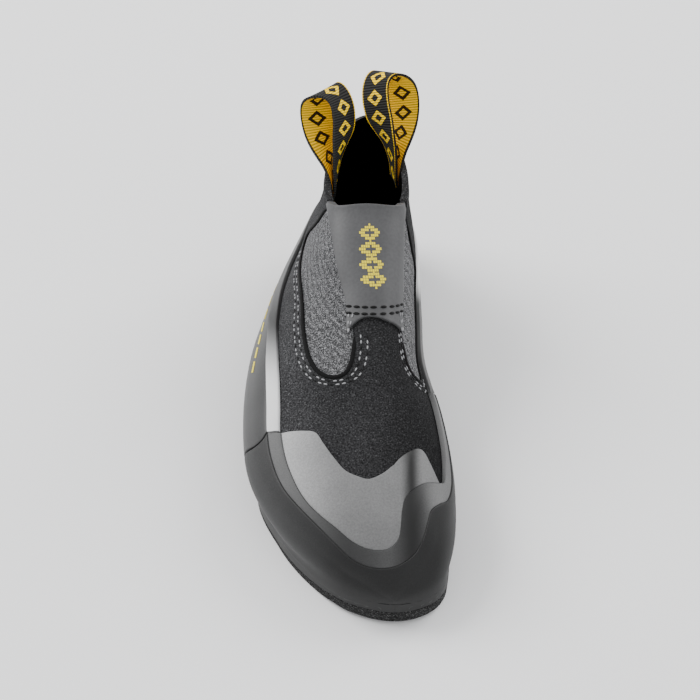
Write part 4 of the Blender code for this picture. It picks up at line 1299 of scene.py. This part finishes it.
def makePullLoop(name, around, riseShare, bellyShare, up, out, across, twist, crest):
    across, twist, crest = (np.array(way) for way in (across, twist, crest))
    upward = riseShare * loopShape["rise"] * unit(up)
    outward = bellyShare * loopShape["belly"] * unit(out)
    nearWall = -loopShape["gap"] - loopShape["thick"] / 2
    inmost = nearWall - loopShape["thick"] - loopShape["legGap"]
    drops = np.linspace(loopShape["tuck"], 0, 5)
    inside = [tuckedRow(around, drop, inmost) for drop in drops]
    outside = [tuckedRow(around, drop, nearWall) for drop in drops[::-1]]
    foot = (inside[-1][1] + outside[0][1]) / 2
    rimWay = unit(inside[-1][2] - inside[-1][0])
    rows = list(inside)
    for turn in np.linspace(*loopShape["turns"], loopShape["turnSteps"]) * math.pi:
        rise = (1 - math.cos(turn)) / 2
        spread = -math.sin(turn) * math.sin(turn / 2) ** loopShape["taper"]
        centre = foot + rise * upward + spread * outward
        blend = min(rise / 0.5, 1)
        way = unit(across + spread * twist + (1 - 2 * spread**2) * crest)
        way = unit((1 - blend) * rimWay + blend * way)
        rows.append(np.array([centre + way * loopShape["width"] * side for side in (-0.5, 0, 0.5)]))
    rows = np.array(rows + outside)
    # a few passes of smoothing take the corner out where the webbing leaves the rim
    for _ in range(loopShape["smoothing"]):
        rows[3:-3] = (rows[2:-4] + 2 * rows[3:-3] + rows[4:-2]) / 4
    columns = loopShape["columns"]
    grid = []
    for place in np.linspace(0, 2, columns):
        near = min(int(place), 1)
        grid.append(rows[:, near] * (1 + near - place) + rows[:, near + 1] * (place - near))
    bpy.ops.mesh.primitive_grid_add(x_subdivisions=columns - 1, y_subdivisions=len(rows) - 1, size=1)
    piece = bpy.context.object
    piece.name = piece.data.name = "pullLoop" + name.capitalize()
    for vert in piece.data.vertices:
        column = round((vert.co.x + 0.5) * (columns - 1))
        row = round((vert.co.y + 0.5) * (len(rows) - 1))
        vert.co = grid[column][row]
    # even steps of the map along the webbing, so that ribs and figures keep their size
    along = runAlong(grid[columns // 2])
    for spot in piece.data.uv_layers.active.data:
        row = round(spot.uv[1] * (len(rows) - 1))
        spot.uv[1] = along[row] / loopShape["length"]
    # the ring's outside is black and its inside yellow
    finishes = [webbingFaces[name], webbingFaces["inside"]]
    for finish in finishes if name == "lateral" else finishes[::-1]:
        piece.data.materials.append(finish)
    solid = piece.modifiers.new("webbing", "SOLIDIFY")
    solid.thickness = loopShape["thick"]
    solid.offset = 0
    solid.material_offset = 1
    selectOnly(piece)
    bpy.ops.object.modifier_apply(modifier=solid.name)
    bpy.ops.object.shade_smooth_by_angle(angle=math.radians(40))
    finishPiece(piece, "webbing", "pull_loop_" + name)


for loop in loopShape["loops"]:
    makePullLoop(*loop)
print("pull loops made")


# The dashed yellow line along the rand

markShape = {"width": 1.6 * mm, "dash": 4.2 * mm, "gap": 1.4 * mm, "height": 0.12 * mm,
             "path": [(3.30, -0.742), (3.84, -0.668), (4.58, -0.598), (5.22, -0.530),
                      (5.80, -0.462), (6.40, -0.424), (6.90, -0.412), (7.29, -0.414)]}


def makeRandMark():
    line = toPattern(evenPath(smoothPath(markShape["path"]), 0.5 * mm))
    along = runAlong(line)
    tiles = []
    start = 0.0
    half = markShape["width"] / 2
    while start + markShape["dash"] < along[-1]:
        for third in range(3):  # three tiles to a dash, which let it bend with the rand
            ends = start + markShape["dash"] * np.array([third, third + 1]) / 3
            (ax, ay), (bx, by) = [[np.interp(e, along, line[:, k]) for k in (0, 1)] for e in ends]
            tiles.append([(ax, ay - half), (bx, by - half), (bx, by + half), (ax, ay + half)])
        start += markShape["dash"] + markShape["gap"]
    return raisedTiles("randMark", tiles, heelFace, markShape["height"], [yellowPrint])


finishPiece(makeRandMark(), "sling_rubber")


# CAD boards that stay, with their own finish

for node, slot in (("midsole", "board"), ("insole", "lining_board")):
    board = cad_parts[node]
    board.data.materials.clear()
    board.data.materials.append(boardCloth)


# Floor, light and camera

bpy.ops.mesh.primitive_plane_add(size=6, location=(0, 0, 0))
floor = bpy.context.object
floor.name = "floor"
floor.data.materials.append(plainMaterial("pale studio floor", "#fafafa", 0.95, specular=0.0))

studio = {
    "world": 0.95,
    "key": (49, (-1.5, 0.6, 1.5), 1.3),
    "fill": (5, (0.9, -1.4, 1.2), 1.6),
    "back": (26, (1.4, 0.9, 1.2), 1.2),
}
world = bpy.data.worlds.new("studio")
world.use_nodes = True
background = world.node_tree.nodes["Background"]
background.inputs["Color"].default_value = hexColour("#f4f5f7")
background.inputs["Strength"].default_value = studio["world"]
bpy.context.scene.world = world


def aimAt(thing, place):
    thing.rotation_mode = "QUATERNION"
    thing.rotation_quaternion = (Vector(place) - thing.location).to_track_quat("-Z", "Y")


centre = (-7 * mm, -90 * mm, 35 * mm)
for name in ("key", "fill", "back"):
    power, place, size = studio[name]
    bpy.ops.object.light_add(type="AREA", location=place)
    lamp = bpy.context.object
    lamp.name = name + "Light"
    lamp.data.energy = power
    lamp.data.size = size
    aimAt(lamp, centre)

view = {"distance": 600 * mm, "elevation": math.radians(43), "lens": 72, "sensor": 36}
away = Vector((0, -math.cos(view["elevation"]), math.sin(view["elevation"])))
bpy.ops.object.camera_add(location=Vector(centre) + away * view["distance"])
camera = bpy.context.object
camera.data.lens = view["lens"]
camera.data.sensor_width = view["sensor"]
camera.data.clip_start = 0.01
aimAt(camera, centre)
bpy.context.scene.camera = camera
bpy.ops.object.select_all(action="DESELECT")

print("scene made")
